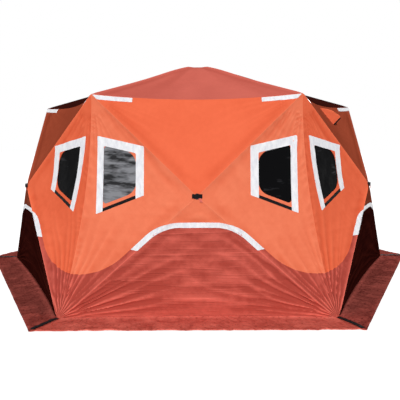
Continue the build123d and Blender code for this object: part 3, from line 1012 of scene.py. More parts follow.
@dataclass(frozen=True)
class QuiltedCloth:
    """Insulated shell cloth with a fine crinkle and faint diamond quilting, with painted shade and highlight
    on its creases, seams, level wrinkles and corner pleats.

    A scale is how many features a metre holds. A tone is how far a feature takes the
    colour towards the deep one, and a height is how far it lifts the bump.
    """

    name: str
    colour: Triple
    deep: Triple
    quilting: float = 0.0
    crinkle: float = 0.3
    level: float = 0.0
    crease_shade: float = 1.0
    corner: float = 0.0
    speckle: float = 0.0
    tone: float = 0.40
    weave_scale: Pair = (60.0, 900.0)
    weave_height: float = 0.05
    crinkle_scale: float = 30.0
    crinkle_tone: float = 0.4
    shade_scale: float = 2.6
    shade_tone: float = 0.7
    quilt_pitch: float = 0.062
    quilt_wander: float = 0.05
    stitch_slope: float = 6.0
    stitch_height: float = 0.5
    stitch_tone: float = 0.5
    patch_scale: float = 4.0
    patch_from: float = 0.42
    patch_slope: float = 5.0
    level_scale: Triple = (2.6, 64.0, 4.0)
    level_from: float = 0.52
    level_slope: float = 5.0
    level_height: float = 2.2
    level_highlight: float = 0.5
    seam_slope: float = 300.0
    seam_dip: float = 0.008
    dip_slope: float = 200.0
    dip_share: float = 0.7
    seam_highlight: float = 0.2
    pleat_turns: float = 34.0
    pleat_wander: float = 9.0
    pleat_wander_scale: float = 5.0
    pleat_fade: float = 2.9
    pleat_start: float = 0.02
    pleat_start_slope: float = 40.0
    pleat_base: float = 0.22
    pleat_shade: float = 0.8
    pleat_height: float = 1.2
    speckle_scale: float = 46.0
    speckle_from: float = 0.56
    speckle_slope: float = 6.0
    rough: float = 0.62
    rough_spread: float = 0.16
    bump_strength: float = 0.6
    bump_depth: float = 0.006

    def pleats(self, paint: Paint, x: Field, z: Field) -> Field:
        """Pleats that gather at the two foot corners and fade with distance, for painted stripes of shade and
        highlight and for the bump.

        Args:
            paint: The material's tree.
            x: Place across the cut.
            z: Height on the cut.

        Returns:
            A height about 0.
        """
        aside = self.corner - x.size()
        away = (aside * aside + z * z) ** 0.5
        uneven = paint.grain(paint.cut(), self.pleat_wander_scale, 2.0)
        fold = (z.bearing(aside) * self.pleat_turns + uneven * self.pleat_wander).sine()
        start = (away - self.pleat_start) * self.pleat_start_slope
        return fold * (1.0 - away * self.pleat_fade).held() * start.held()

    def stitches(self, paint: Paint, x: Field, z: Field, shade: Field) -> Field:
        """Lines of diamond quilting that come and go.

        Args:
            paint: The material's tree.
            x: Place across the cut.
            z: Height on the cut.
            shade: Broad noise that makes the lines wander.

        Returns:
            A mask from 0 to the cloth's quilting.
        """
        wander = (shade - 0.5) * self.quilt_wander
        first = ((x + z + wander) * (math.pi / self.quilt_pitch)).sine().size()
        second = ((x - z + wander) * (math.pi / self.quilt_pitch)).sine().size()
        lines = (1.0 - first.least(second) * self.stitch_slope).held()
        patches = paint.grain(paint.cut(), self.patch_scale, 2.0) - self.patch_from
        return lines * (patches * self.patch_slope).held() * self.quilting

    def material(self) -> bpy.types.Material:
        """Builds the cloth's material."""
        paint = Paint.named(self.name)
        at = paint.cut()
        fold, middle, seam = paint.lay()
        thin, thick = self.weave_scale
        weave = paint.grain(paint.stretched(at, (thin, thick, thin)), 1.0, 2.0)
        weave = weave + paint.grain(paint.stretched(at, (thick, thin, thin)), 1.0, 2.0)
        crinkle = paint.grain(at, self.crinkle_scale, 4.0, 0.6)
        shade = paint.grain(at, self.shade_scale, 3.0, 0.55)
        split = paint.node("SeparateXYZ", None, Vector=at)
        x, z = paint.number(split.outputs[0]), paint.number(split.outputs[1])
        stitch = self.stitches(paint, x, z, shade)
        lines = paint.grain(paint.stretched(at, self.level_scale), 1.0, 2.0, 0.5)
        level = ((lines - self.level_from) * self.level_slope).held() * middle * self.level
        # Painted highlight along each seam and pole ridge, with a thin line of painted shade just beside it.
        beside_seam_shade = (1.0 - (seam - self.seam_dip).size() * self.dip_slope).held()
        edge = (1.0 - seam * self.seam_slope).held() - beside_seam_shade * self.dip_share
        height = crinkle * self.crinkle + weave * self.weave_height
        height = height - stitch * self.stitch_height + level * self.level_height
        mask = (shade - 0.5) * self.shade_tone + (crinkle - 0.5) * self.crinkle_tone + self.tone
        # Painted shade in crease hollows, painted highlight on crests and along the band's level wrinkles.
        mask = mask - fold * self.crease_shade - level * self.level_highlight
        mask = mask + stitch * self.stitch_tone - edge * self.seam_highlight
        if self.corner:
            # Painted pleats at the foot corners: stripes of painted shade and highlight, over a band that is
            # darker as a whole.
            pleat = self.pleats(paint, x, z)
            mask = mask + self.pleat_base - pleat * self.pleat_shade
            height = height + pleat * self.pleat_height
        if self.speckle:
            specks = paint.grain(at, self.speckle_scale, 3.0, 0.6) - self.speckle_from
            mask = mask + (specks * self.speckle_slope).held() * self.speckle
        return paint.finish(
            Base_Color=paint.blend(mask.held(), self.colour, self.deep),
            Roughness=self.rough + (crinkle - 0.5) * self.rough_spread,
            Normal=paint.bump(height, self.bump_strength, self.bump_depth),
            Specular_IOR_Level=0.0,
        )


@dataclass(frozen=True)
class ReflectiveTape:
    """White tape with fine beads and cross creases."""

    name: str = "white_tape"
    colour: Triple = (0.97, 0.97, 0.99)
    deep: Triple = (0.70, 0.71, 0.78)
    bead_scale: float = 160.0
    bead_tone: float = 0.2
    bead_height: float = 0.05
    crease_scale: Triple = (38.0, 14.0, 20.0)
    crease_turn: float = 0.6
    crease_from: float = 0.42
    crease_slope: float = 2.2
    rough: float = 0.34
    rough_spread: float = 0.3

    def material(self) -> bpy.types.Material:
        """Builds the tape's material."""
        paint = Paint.named(self.name)
        at = paint.cut()
        cells = paint.node("TexVoronoi", {"feature": "F1"}, Vector=at, Scale=self.bead_scale)
        bead = paint.number(cells.outputs["Distance"])
        crease = paint.grain(paint.stretched(at, self.crease_scale, self.crease_turn), 1.0, 4.0, 0.6)
        mask = ((crease - self.crease_from) * self.crease_slope + bead * self.bead_tone).held()
        return paint.finish(
            Base_Color=paint.blend(mask, self.colour, self.deep),
            Roughness=self.rough + (crease - 0.5) * self.rough_spread,
            Normal=paint.bump(crease + bead * self.bead_height, 0.5, 0.006),
        )


@dataclass(frozen=True)
class Webbing:
    """Woven black strap."""

    name: str = "black_webbing"
    colour: Triple = (0.006, 0.0055, 0.006)
    light: Triple = (0.024, 0.022, 0.024)
    rib_scale: float = 190.0
    rib_bend: float = 0.6
    fluff_scale: float = 240.0
    fluff_height: float = 0.4
    dark_share: float = 0.2
    rough: float = 0.6
    rough_spread: float = 0.3

    def material(self) -> bpy.types.Material:
        """Builds the strap's material."""
        paint = Paint.named(self.name)
        at = paint.here()
        kind = {"wave_type": "BANDS", "bands_direction": "DIAGONAL"}
        rib = paint.node("TexWave", kind, Vector=at, Scale=self.rib_scale, Distortion=self.rib_bend)
        ribs = paint.number(rib.outputs["Fac"])
        fluff = paint.grain(at, self.fluff_scale, 3.0)
        mask = (ribs * 0.5 + fluff * 0.5 - self.dark_share).held()
        return paint.finish(
            Base_Color=paint.blend(mask, self.colour, self.light),
            Roughness=self.rough + (fluff - 0.5) * self.rough_spread,
            Normal=paint.bump(ribs + fluff * self.fluff_height, 0.6, 0.0012),
            Specular_IOR_Level=0.06,
        )


@dataclass(frozen=True)
class VinylPane:
    """Clear vinyl that looks nearly black over the dark inside, with lighter streaks of painted reflection.
    """

    name: str = "clear_vinyl"
    colour: Triple = (0.004, 0.004, 0.0045)
    reflection_colour: Triple = (0.055, 0.055, 0.06)
    cover: float = 0.60
    streak_scale: Triple = (5.0, 5.0, 22.0)
    streak_turn: float = 0.5
    streak_slope: float = 4.5
    streak_height: float = 0.25
    ripple_scale: float = 7.0
    rough: float = 0.22
    rough_spread: float = 0.3

    def material(self) -> bpy.types.Material:
        """Builds the pane's material."""
        paint = Paint.named(self.name)
        at = paint.here()
        streak = paint.grain(paint.stretched(at, self.streak_scale, self.streak_turn), 1.0, 3.0, 0.6)
        ripple = paint.grain(at, self.ripple_scale, 2.0)
        mask = ((streak - self.cover) * self.streak_slope).held()
        return paint.finish(
            Base_Color=paint.blend(mask, self.colour, self.reflection_colour),
            Roughness=self.rough + (streak - 0.5).size() * self.rough_spread,
            Normal=paint.bump(ripple + streak * self.streak_height, 0.35, 0.03),
            Specular_IOR_Level=0.02,
        )


@dataclass(frozen=True)
class MouldedPlastic:
    """Black moulded plastic or fibreglass with a fine grain."""

    name: str
    colour: Triple = (0.018, 0.018, 0.019)
    grain: float = 420.0
    rough: float = 0.42
    rough_spread: float = 0.25
    scuff_scale: float = 26.0
    scuff_slope: float = 2.4
    scuff_gain: float = 2.2
    scuff_lift: float = 0.01

    def material(self) -> bpy.types.Material:
        """Builds the plastic's material."""
        paint = Paint.named(self.name)
        at = paint.here()
        pebble = paint.grain(at, self.grain, 3.0)
        scuff = paint.grain(at, self.scuff_scale, 4.0, 0.65)
        mask = ((scuff - 0.5) * self.scuff_slope).held()
        light = tuple(c * self.scuff_gain + self.scuff_lift for c in self.colour)
        return paint.finish(
            Base_Color=paint.blend(mask, self.colour, light),
            Roughness=self.rough + (scuff - 0.5) * self.rough_spread,
            Normal=paint.bump(pebble, 0.25, 0.0006),
            Specular_IOR_Level=0.25,
        )


@dataclass(frozen=True)
class PlatedSteel:
    """Bright plated eyelet metal with small scuffs."""

    name: str = "eyelet_steel"
    colour: Triple = (0.72, 0.72, 0.74)
    worn: Triple = (0.5, 0.49, 0.48)
    scuff_scale: float = 180.0
    scuff_from: float = 0.3
    rough: float = 0.24
    rough_spread: float = 0.4

    def material(self) -> bpy.types.Material:
        """Builds the metal's material."""
        paint = Paint.named(self.name)
        scuff = paint.grain(paint.here(), self.scuff_scale, 4.0, 0.6)
        return paint.finish(
            Base_Color=paint.blend((scuff - self.scuff_from).held(), self.colour, self.worn),
            Metallic=1.0,
            Roughness=self.rough + (scuff - 0.5).size() * self.rough_spread,
            Normal=paint.bump(scuff, 0.2, 0.0005),
        )


@dataclass
class Finishes:
    """Every finish, built once."""

    made: dict[str, bpy.types.Material] = field(default_factory=dict)

    def __post_init__(self) -> None:
        """Builds the materials."""
        band = {"quilting": 0.3, "crinkle": 0.4, "level": 0.6, "corner": HutForm().base_radius / 2}
        skirt = {"quilting": 1.0, "crinkle": 0.6, "crease_shade": 0.6, "speckle": 0.7}
        side_skirt = {"quilting": 0.7, "crinkle": 0.8, "crease_shade": 0.6, "speckle": 0.8}
        kinds = [
            QuiltedCloth("orange_top_cloth", (0.97, 0.188, 0.086), (0.80, 0.125, 0.052), crinkle=0.16),
            # A lighter copy of the orange, painted as lit, for the front and back walls' window sides and
            # crowns.
            QuiltedCloth("orange_lit_side_cloth", (0.97, 0.250, 0.130), (0.82, 0.165, 0.078), quilting=0.2),
            # A darker copy of the orange, painted shade, for the slanting walls' top panels.
            QuiltedCloth("orange_shaded_top_cloth", (0.47, 0.092, 0.044), (0.28, 0.048, 0.022), crinkle=0.2),
            # A darker copy of the orange, painted shade, for the slanting walls' crown panels.
            QuiltedCloth("orange_shaded_crown_cloth", (0.30, 0.068, 0.034), (0.20, 0.040, 0.020), crinkle=0.2),
            QuiltedCloth("dark_red_cloth", (0.86, 0.176, 0.128), (0.44, 0.068, 0.048), **band),
            # The red cloth darkened nearly to black, painted shade, for the slanting walls' foot panels.
            QuiltedCloth("dark_red_shaded_cloth", (0.058, 0.0090, 0.0060), (0.026, 0.004, 0.003), **band),
            QuiltedCloth("roof_cloth", (0.84, 0.190, 0.140), (0.66, 0.130, 0.094), crinkle=0.16),
            # The roof cloth darkened nearly to black, painted shade, for the slanting walls' roof panels.
            QuiltedCloth("roof_shaded_cloth", (0.060, 0.011, 0.008), (0.04, 0.007, 0.005), crinkle=0.2),
            QuiltedCloth("skirt_cloth", (1.00, 0.240, 0.178), (0.50, 0.078, 0.056), **skirt),
            # A darker copy of the skirt cloth, painted shade, for the slanting walls' stretches.
            QuiltedCloth("skirt_shaded_cloth", (0.54, 0.120, 0.094), (0.17, 0.030, 0.024), **side_skirt),
            ReflectiveTape(),
            Webbing(),
            VinylPane(),
            # A pane painted mostly mid grey as reflection, for the front wall's left pane.
            VinylPane("grey_reflection_vinyl", (0.03, 0.03, 0.032), (0.26, 0.265, 0.285), 0.36),
            MouldedPlastic("hub_plastic"),
            MouldedPlastic("pole_fibreglass", (0.03, 0.03, 0.032), grain=160.0, rough=0.35),
            PlatedSteel(),
        ]
        for kind in kinds:
            self.made[kind.name] = kind.material()

    def slot(self, name: str) -> str:
        """Slot of the record that a finish stands for."""
        if "cloth" not in name:
            return {"grey_reflection_vinyl": "clear_vinyl", "pole_fibreglass": "fibreglass"}.get(name, name)
        return "orange_fabric" if name.startswith("orange") else "red_fabric"

    def carry(self, piece: Piece, name: str) -> None:
        """Dresses a new piece and sets it on the hut's one body.

        Args:
            piece: The object.
            name: The finish's name.
        """
        piece.data.materials.clear()
        piece.data.materials.append(self.made[name])
        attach(piece, "root")
        self.slot(name)

    def second(self, piece: Piece, name: str, layers: list[Shell], chosen: set[int]) -> None:
        """Gives some of a piece's layers a second finish.

        Args:
            piece: The object.
            name: The second finish's name.
            layers: The shells that it was sewn from.
            chosen: Numbers of the layers that take it.
        """
        piece.data.materials.append(self.made[name])
        tones = [int(n in chosen) for n, (_, faces, _) in enumerate(layers) for _ in range(len(faces))]
        piece.data.polygons.foreach_set("material_index", tones)


@dataclass
class Wall:
    """One wall: its cloth, tapes, panes and sill strips."""

    name: WallName
    form: HutForm
    finishes: Finishes
    near_spacing: float = 0.014
    far_spacing: float = 0.019
    tape_spacing: float = 0.013
    strip_spacing: float = 0.012
    pane_spacing: float = 0.03
    edge_step: int = 12
    bell: BellCurve = field(default_factory=BellCurve)
    window_seam_side: float = 0.800
    window_hub_side: float = 0.410
    window_seam_heights: Pair = (0.778, 1.392)
    window_hub_heights: Pair = (0.933, 1.308)
    seam_leg: float = 0.055
    hub_leg: float = 0.065
    seam_head: float = 0.081
    hub_head: float = 0.053
    window_edge: float = -0.003
    sill: float = 0.025
    sill_clear: float = 0.001
    hub_round: float = 0.120
    seam_round: float = 0.025
    tape_rounds: tuple[float, ...] = (0.003, 0.008, 0.008, 0.003, 0.003, 0.010, 0.014, 0.003)
    trim_lift: float = 0.0034
    trim_thickness: float = 0.0030
    pane_lap: float = 0.020
    pane_gap: float = 0.0005
    pane_thickness: float = 0.0008
    bolt: float = 0.010
    eave_start: float = 0.840
    eave_end: float = 0.525
    eave_clear: float = 0.004
    eave_tape_width: float = 0.040
    bell_tape: float = 0.040
    bell_tape_foot: float = 0.534
    bell_clear: float = 0.0005
    seam_clear: float = 0.002
    band_clear: float = 0.004
    ridge_inset: float = 0.004
    cut_shift: float = 0.37

    def __post_init__(self) -> None:
        """Makes the wall's surface and the turn to its place."""
        self.surface = WallSurface.of(self.form, self.name)
        self.sewing = Sewing(self.name.value)
        self.spacing = self.near_spacing if self.name.near else self.far_spacing

    @staticmethod
    def rounded(corners: list[Pair], radii: list[float], steps: int = 10) -> Array:
        """Polygon with rounded corners.

        Args:
            corners: Its corners in order.
            radii: One radius a corner.
            steps: Points on each rounding.

        Returns:
            The outline.
        """
        points = [np.array(c) for c in corners]
        out = []
        for n, (corner, radius) in enumerate(zip(points, radii)):
            before = points[n - 1] - corner
            after = points[(n + 1) % len(points)] - corner
            before, after = before / np.linalg.norm(before), after / np.linalg.norm(after)
            half = math.acos(np.clip(before @ after, -1, 1)) / 2
            start = corner + before * radius / math.tan(half)
            end = corner + after * radius / math.tan(half)
            bisector = (before + after) / np.linalg.norm(before + after)
            middle = corner + bisector * radius / math.sin(half)
            a, b = start - middle, end - middle
            sweep = math.atan2(a[0] * b[1] - a[1] * b[0], a @ b)
            for turn in np.linspace(0, sweep, steps):
                c, s = math.cos(turn), math.sin(turn)
                out.append(middle + np.array([a[0] * c - a[1] * s, a[0] * s + a[1] * c]))
        return np.array(out)

    def line_height(self, side: float, end: int) -> float:
        """Height of the window tape's foot (0) or head (1) at a distance from the middle."""
        share = (side - self.window_hub_side) / (self.window_seam_side - self.window_hub_side)
        hub_side = self.window_hub_heights[end]
        return hub_side + share * (self.window_seam_heights[end] - hub_side)

    @property
    def inner_sides(self) -> Pair:
        """Inner edges of the window tape's legs, at the hub and the seam."""
        return self.window_hub_side + self.hub_leg, self.window_seam_side - self.seam_leg

    def opening(self, grow: float = 0.0) -> Array:
        """Outline of the right-hand window opening.

        Args:
            grow: How far outside the opening to stay.

        Returns:
            The outline.
        """
        hub, seam = self.inner_sides
        hub_head = self.window_hub_heights[1] - self.hub_head - self.window_edge + grow
        seam_head = self.window_seam_heights[1] - self.seam_head - self.window_edge + grow
        corners = [
            (hub + self.window_edge - grow, self.line_height(hub, 0) + 2 * self.sill - grow),
            (seam - self.window_edge + grow, self.line_height(seam, 0) + 2 * self.sill - grow),
            (seam - self.window_edge + grow, seam_head),
            (hub + self.window_edge - grow, hub_head),
        ]
        radii = [self.hub_round, self.seam_round, self.seam_round, self.hub_round]
        return self.rounded(corners, radii)

    def window_tape(self) -> Array:
        """Outline of the right-hand window's tape, open at its foot."""
        hub, seam = self.inner_sides
        outer = [
            (self.window_hub_side, self.window_hub_heights[0]),
            (self.window_hub_side, self.window_hub_heights[1]),
            (self.window_seam_side, self.window_seam_heights[1]),
            (self.window_seam_side, self.window_seam_heights[0]),
            (seam, self.line_height(seam, 0)),
            (seam, self.window_seam_heights[1] - self.seam_head),
            (hub, self.window_hub_heights[1] - self.hub_head),
            (hub, self.line_height(hub, 0)),
        ]
        return self.rounded(outer, self.tape_rounds, 5)

    def sill_strip(self) -> Array:
        """Outline of the right-hand window's sill strip."""
        hub, seam = self.inner_sides
        sides = (hub + self.sill_clear, seam - self.sill_clear)
        low = [(side, self.line_height(end, 0)) for side, end in zip(sides, (hub, seam))]
        return np.array([*low, *[(x, z + self.sill) for x, z in reversed(low)]])

    def right_crossings(self) -> Pair:
        """Where the bell crosses the right foot ridge and the right seam, across."""
        foot = self.surface.corners["foot_right"]
        ridge = np.linspace(0.1, 1, 4000)[:, None] * (foot[0], foot[2] - self.form.hub_height)
        below = ridge[:, 1] + self.form.hub_height < self.bell.height(ridge[:, 0])
        at_ridge = ridge[np.argmax(below), 0]
        seam = self.surface.edges[3]
        above = seam[:, 2] > self.bell.height(seam[:, 0])
        return at_ridge, seam[np.argmax(above), 0]

    def bell_line(self, start: float, end: float, count: int = 60) -> Array:
        """Stretch of the bell's edge."""
        across = np.linspace(start, end, count)
        return np.stack([across, self.bell.height(across)], 1)

    def bolt_arc(self, start: float, end: float) -> Array:
        """Arc round the hub's bolt between two directions."""
        turns = np.linspace(start, end, 5)
        height = self.form.hub_height + self.bolt * np.sin(turns)
        return np.stack([self.bolt * np.cos(turns), height], 1)

    def cuts(self) -> dict[str, Cut]:
        """Flat cuts of the wall's cloth.

        Returns:
            The top, right side, crown and lower band.
        """
        surface = self.surface
        top_edge, _, _, seam_edge = (edge[:: self.edge_step, [0, 2]] for edge in surface.edges)
        right_eave, left_eave = (surface.corners[c][[0, 2]] for c in ("eave_right", "eave_left"))
        first, second, third, fourth = surface.ridges
        top = np.concatenate([self.bolt_arc(second, first), top_edge, [left_eave]])
        at_ridge, at_seam = self.right_crossings()
        bell = self.bell_line(at_ridge, at_seam)
        bell_end = bell[-1, 1]
        above = (seam_edge[:, 0] < at_seam - self.seam_clear) & (seam_edge[:, 1] > bell_end)
        bolt = self.bolt_arc(first + 2 * math.pi, fourth)
        side = np.concatenate([bolt, bell, seam_edge[above], [right_eave]])
        crown = np.concatenate([self.bolt_arc(fourth, third), self.bell_line(-at_ridge, at_ridge, 90)])
        foot = surface.corners["foot_right"]
        ridge_foot = foot[0] * self.form.hub_height / (self.form.hub_height - foot[2])
        below = (seam_edge[:, 1] > self.band_clear) & (seam_edge[:, 1] < bell_end - self.band_clear)
        seam_below = seam_edge[below]
        right_low = np.array([[ridge_foot, 0.0], [surface.ground_half, 0.0]])
        mirror = np.array([-1.0, 1.0])
        band = np.concatenate(
            [
                [[0.0, 0.0]],
                right_low,
                seam_below,
                self.bell_line(at_seam, -at_seam, 160),
                seam_below[::-1] * mirror,
                right_low[::-1] * mirror,
            ]
        )
        ridge_line = np.array([[ridge_foot, 0.0], [at_ridge, self.bell.height(np.array([at_ridge]))[0]]])
        inset = ridge_line + (ridge_line[::-1] - ridge_line) * self.ridge_inset
        return {
            "top": Cut(top, spacing=self.spacing),
            "side": Cut(side, (self.opening(),), spacing=self.spacing),
            "crown": Cut(crown, spacing=self.spacing),
            "band": Cut(
                band,
                creases=(inset, inset * mirror),
                spacing=self.spacing,
                fine_spots=((foot[0], 0.0), (-foot[0], 0.0)) if self.name.near else (),
            ),
        }

    def layer(self, cut: Cut, lift: float, thickness: float, flip: bool = False) -> Shell:
        """Shell of one cut laid on the wall.

        Args:
            cut: The cut.
            lift: Height of its outer face over the skin.
            thickness: How thick it is.
            flip: Whether it is laid on the left side instead.

        Returns:
            Points, triangles, and flat places.
        """
        places, triangles, rim = cut.mesh()
        if flip:
            places = places * (-1, 1)
            triangles, rim = triangles[:, ::-1], rim[:, ::-1]
        outer, lay = self.surface.place(places, lift)
        inner, _ = self.surface.place(places, lift - thickness)
        points, faces = self.sewing.shell(outer, inner, triangles, rim)
        flat = np.column_stack([places, np.full(len(places), self.cut_shift * self.name.value), lay])
        return points, faces, np.concatenate([flat, flat])

    def paint_foot_shade(self, piece: Piece, second: str) -> None:
        """Gives the faces between the foot ridges a second finish: the red cloth darkened as painted shade.

        Args:
            piece: The wall's lower band.
            second: The second finish's name.
        """
        piece.data.materials.append(self.finishes.made[second])
        mesh = piece.data
        flats = np.empty(len(mesh.vertices) * 3, np.float32)
        mesh.attributes["cut"].data.foreach_get("vector", flats)
        corners = np.empty(len(mesh.loops), np.int32)
        mesh.loops.foreach_get("vertex_index", corners)
        middles = flats.reshape(-1, 3)[corners.reshape(-1, 3)].mean(1)[:, :2]
        _, _, angle, _ = self.surface.outward(middles.astype(float))
        mesh.polygons.foreach_set("material_index", self.surface.at_foot(angle).astype(np.int32))

    def sheet(
        self,
        piece: Piece,
        node: str,
        finish: str,
    ) -> Piece:
        """Dresses a piece of cloth stretched over the wall's poles, and hides the node it stands in place of.

        Args:
            piece: The object.
            node: The node it stands for.
            finish: Its finish.

        Returns:
            The piece.
        """
        self.finishes.carry(piece, finish)
        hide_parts(node)
        return piece

    def cloth(self) -> list[Piece]:
        """Builds and dresses the wall's own cloth.

        Returns:
            The top, the window sides and the lower band.
        """
        word, bright = self.name.word, self.name.bright
        cuts, thickness = self.cuts(), self.form.cloth
        sides = [self.layer(cuts["side"], 0, thickness, flip) for flip in (False, True)]
        top = self.sewing.piece(f"{word}_top_cloth", [self.layer(cuts["top"], 0, thickness)])
        windows = self.sewing.piece(f"{word}_window_cloth", sides)
        band = self.sewing.piece(f"{word}_band_cloth", [self.layer(cuts["band"], 0, thickness)])
        # The slanting walls' tops take the orange painted darker as shade.
        top_finish = "orange_top_cloth" if bright else "orange_shaded_top_cloth"
        # The front and back walls' window sides take the orange painted lighter as lit.
        side_finish = "orange_lit_side_cloth" if bright else "orange_top_cloth"
        self.sheet(top, f"{word}_top_panel", top_finish)
        self.sheet(windows, f"{word}_window_panels", side_finish)
        self.sheet(band, f"{word}_lower_band", "dark_red_cloth")
        # The slanting walls' foot panels take the red cloth painted darker as shade.
        if not bright:
            self.paint_foot_shade(band, "dark_red_shaded_cloth")
        return [top, windows, band]

    def shared(self) -> dict[str, list[Shell]]:
        """The wall's share of the pieces that all walls have together.

        Returns:
            Layers turned to the wall's place, by the name of their node.
        """
        tape = Cut(self.window_tape(), spacing=self.tape_spacing)
        strip = Cut(self.sill_strip(), spacing=self.strip_spacing)
        pane = Cut(self.opening(self.pane_lap), spacing=self.pane_spacing)
        pane_lift = -self.form.cloth - self.pane_gap
        both = (False, True)
        trim = (self.trim_lift, self.trim_thickness)
        layers = {
            "crown_panels": [self.layer(self.cuts()["crown"], 0, self.form.cloth)],
            "window_tapes": [self.layer(tape, *trim, flip) for flip in both],
            "window_sill_strips": [self.layer(strip, *trim, flip) for flip in both],
            "window_panes": [self.layer(pane, pane_lift, self.pane_thickness, flip) for flip in both],
            "eave_tapes": [self.layer(self.eave_tape(), *trim, flip) for flip in both],
            "bell_tapes": [self.layer(self.bell_tape_cut(), *trim)],
        }
        turn = WALL_TURN * self.name.value
        return {
            node: [(spun(points, turn), faces, flats) for points, faces, flats in shells]
            for node, shells in layers.items()
        }

    def eave_tape(self) -> Cut:
        """Short tape under the right end of the eave."""
        edge = self.surface.edges[0][::-1, [0, 2]]
        across = np.linspace(self.eave_start, self.eave_end, 14)
        head = np.interp(across, *edge.T) - self.eave_clear
        foot_across = np.linspace(self.eave_end, self.eave_start - self.eave_tape_width, 14)
        foot = np.interp(foot_across, *edge.T) - self.eave_tape_width
        outline = np.concatenate([np.stack([across, head], 1), np.stack([foot_across, foot], 1)])
        return Cut(outline, spacing=self.strip_spacing)

    def bell_tape_cut(self) -> Cut:
        """Piping just under the bell's edge, over its crown."""
        across = np.linspace(-0.8, 0.8, 800)[400:]
        heads = self.bell.height(across) - self.bell_clear
        feet = self.bell.height(across, self.bell_tape)
        head_side = np.interp(-self.bell_tape_foot, -heads, across)
        foot_side = np.interp(-self.bell_tape_foot, -feet, across)
        top_across = np.linspace(-head_side, head_side, 90)
        foot_across = np.linspace(foot_side, -foot_side, 90)
        head = np.stack([top_across, self.bell.height(top_across) - self.bell_clear], 1)
        foot = np.stack([foot_across, self.bell.height(foot_across, self.bell_tape)], 1)
        return Cut(np.concatenate([foot, head])[::-1], spacing=self.tape_spacing)


@dataclass
class Walls:
    """All six walls and the pieces that they share."""

    form: HutForm
    finishes: Finishes

    def build(self) -> list[Piece]:
        """Builds every wall, then the shared pieces.

        Returns:
            All the pieces.
        """
        out, shared = [], {}
        for name in WallName:
            wall = Wall(name, self.form, self.finishes)
            out += wall.cloth()
            for node, layers in wall.shared().items():
                shared.setdefault(node, []).extend(layers)
        sewing = Sewing()
        for node, name, finish in (
            # The front and back walls' crowns take the orange painted lighter as lit.
            ("crown_panels", "crown_cloth", "orange_lit_side_cloth"),
            ("window_tapes", "window_tape_frames", "white_tape"),
            ("window_sill_strips", "window_sill_webs", "black_webbing"),
            ("window_panes", "window_vinyl", "clear_vinyl"),
            ("eave_tapes", "eave_tape_ends", "white_tape"),
            ("bell_tapes", "bell_piping", "white_tape"),
        ):
            piece = sewing.piece(name, shared[node])
            self.finishes.carry(piece, finish)
            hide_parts(node)
            out.append(piece)
            if node == "crown_panels":
                # The slanting walls' crowns take the orange painted darker as shade.
                slanting = {wall.value for wall in WallName if not wall.bright}
                self.finishes.second(piece, "orange_shaded_crown_cloth", shared[node], slanting)
            if node == "window_panes":
                # The front wall comes first, and its second pane is the left one, which is painted mostly
                # grey as reflection.
                self.finishes.second(piece, "grey_reflection_vinyl", shared[node], {1})
        return out


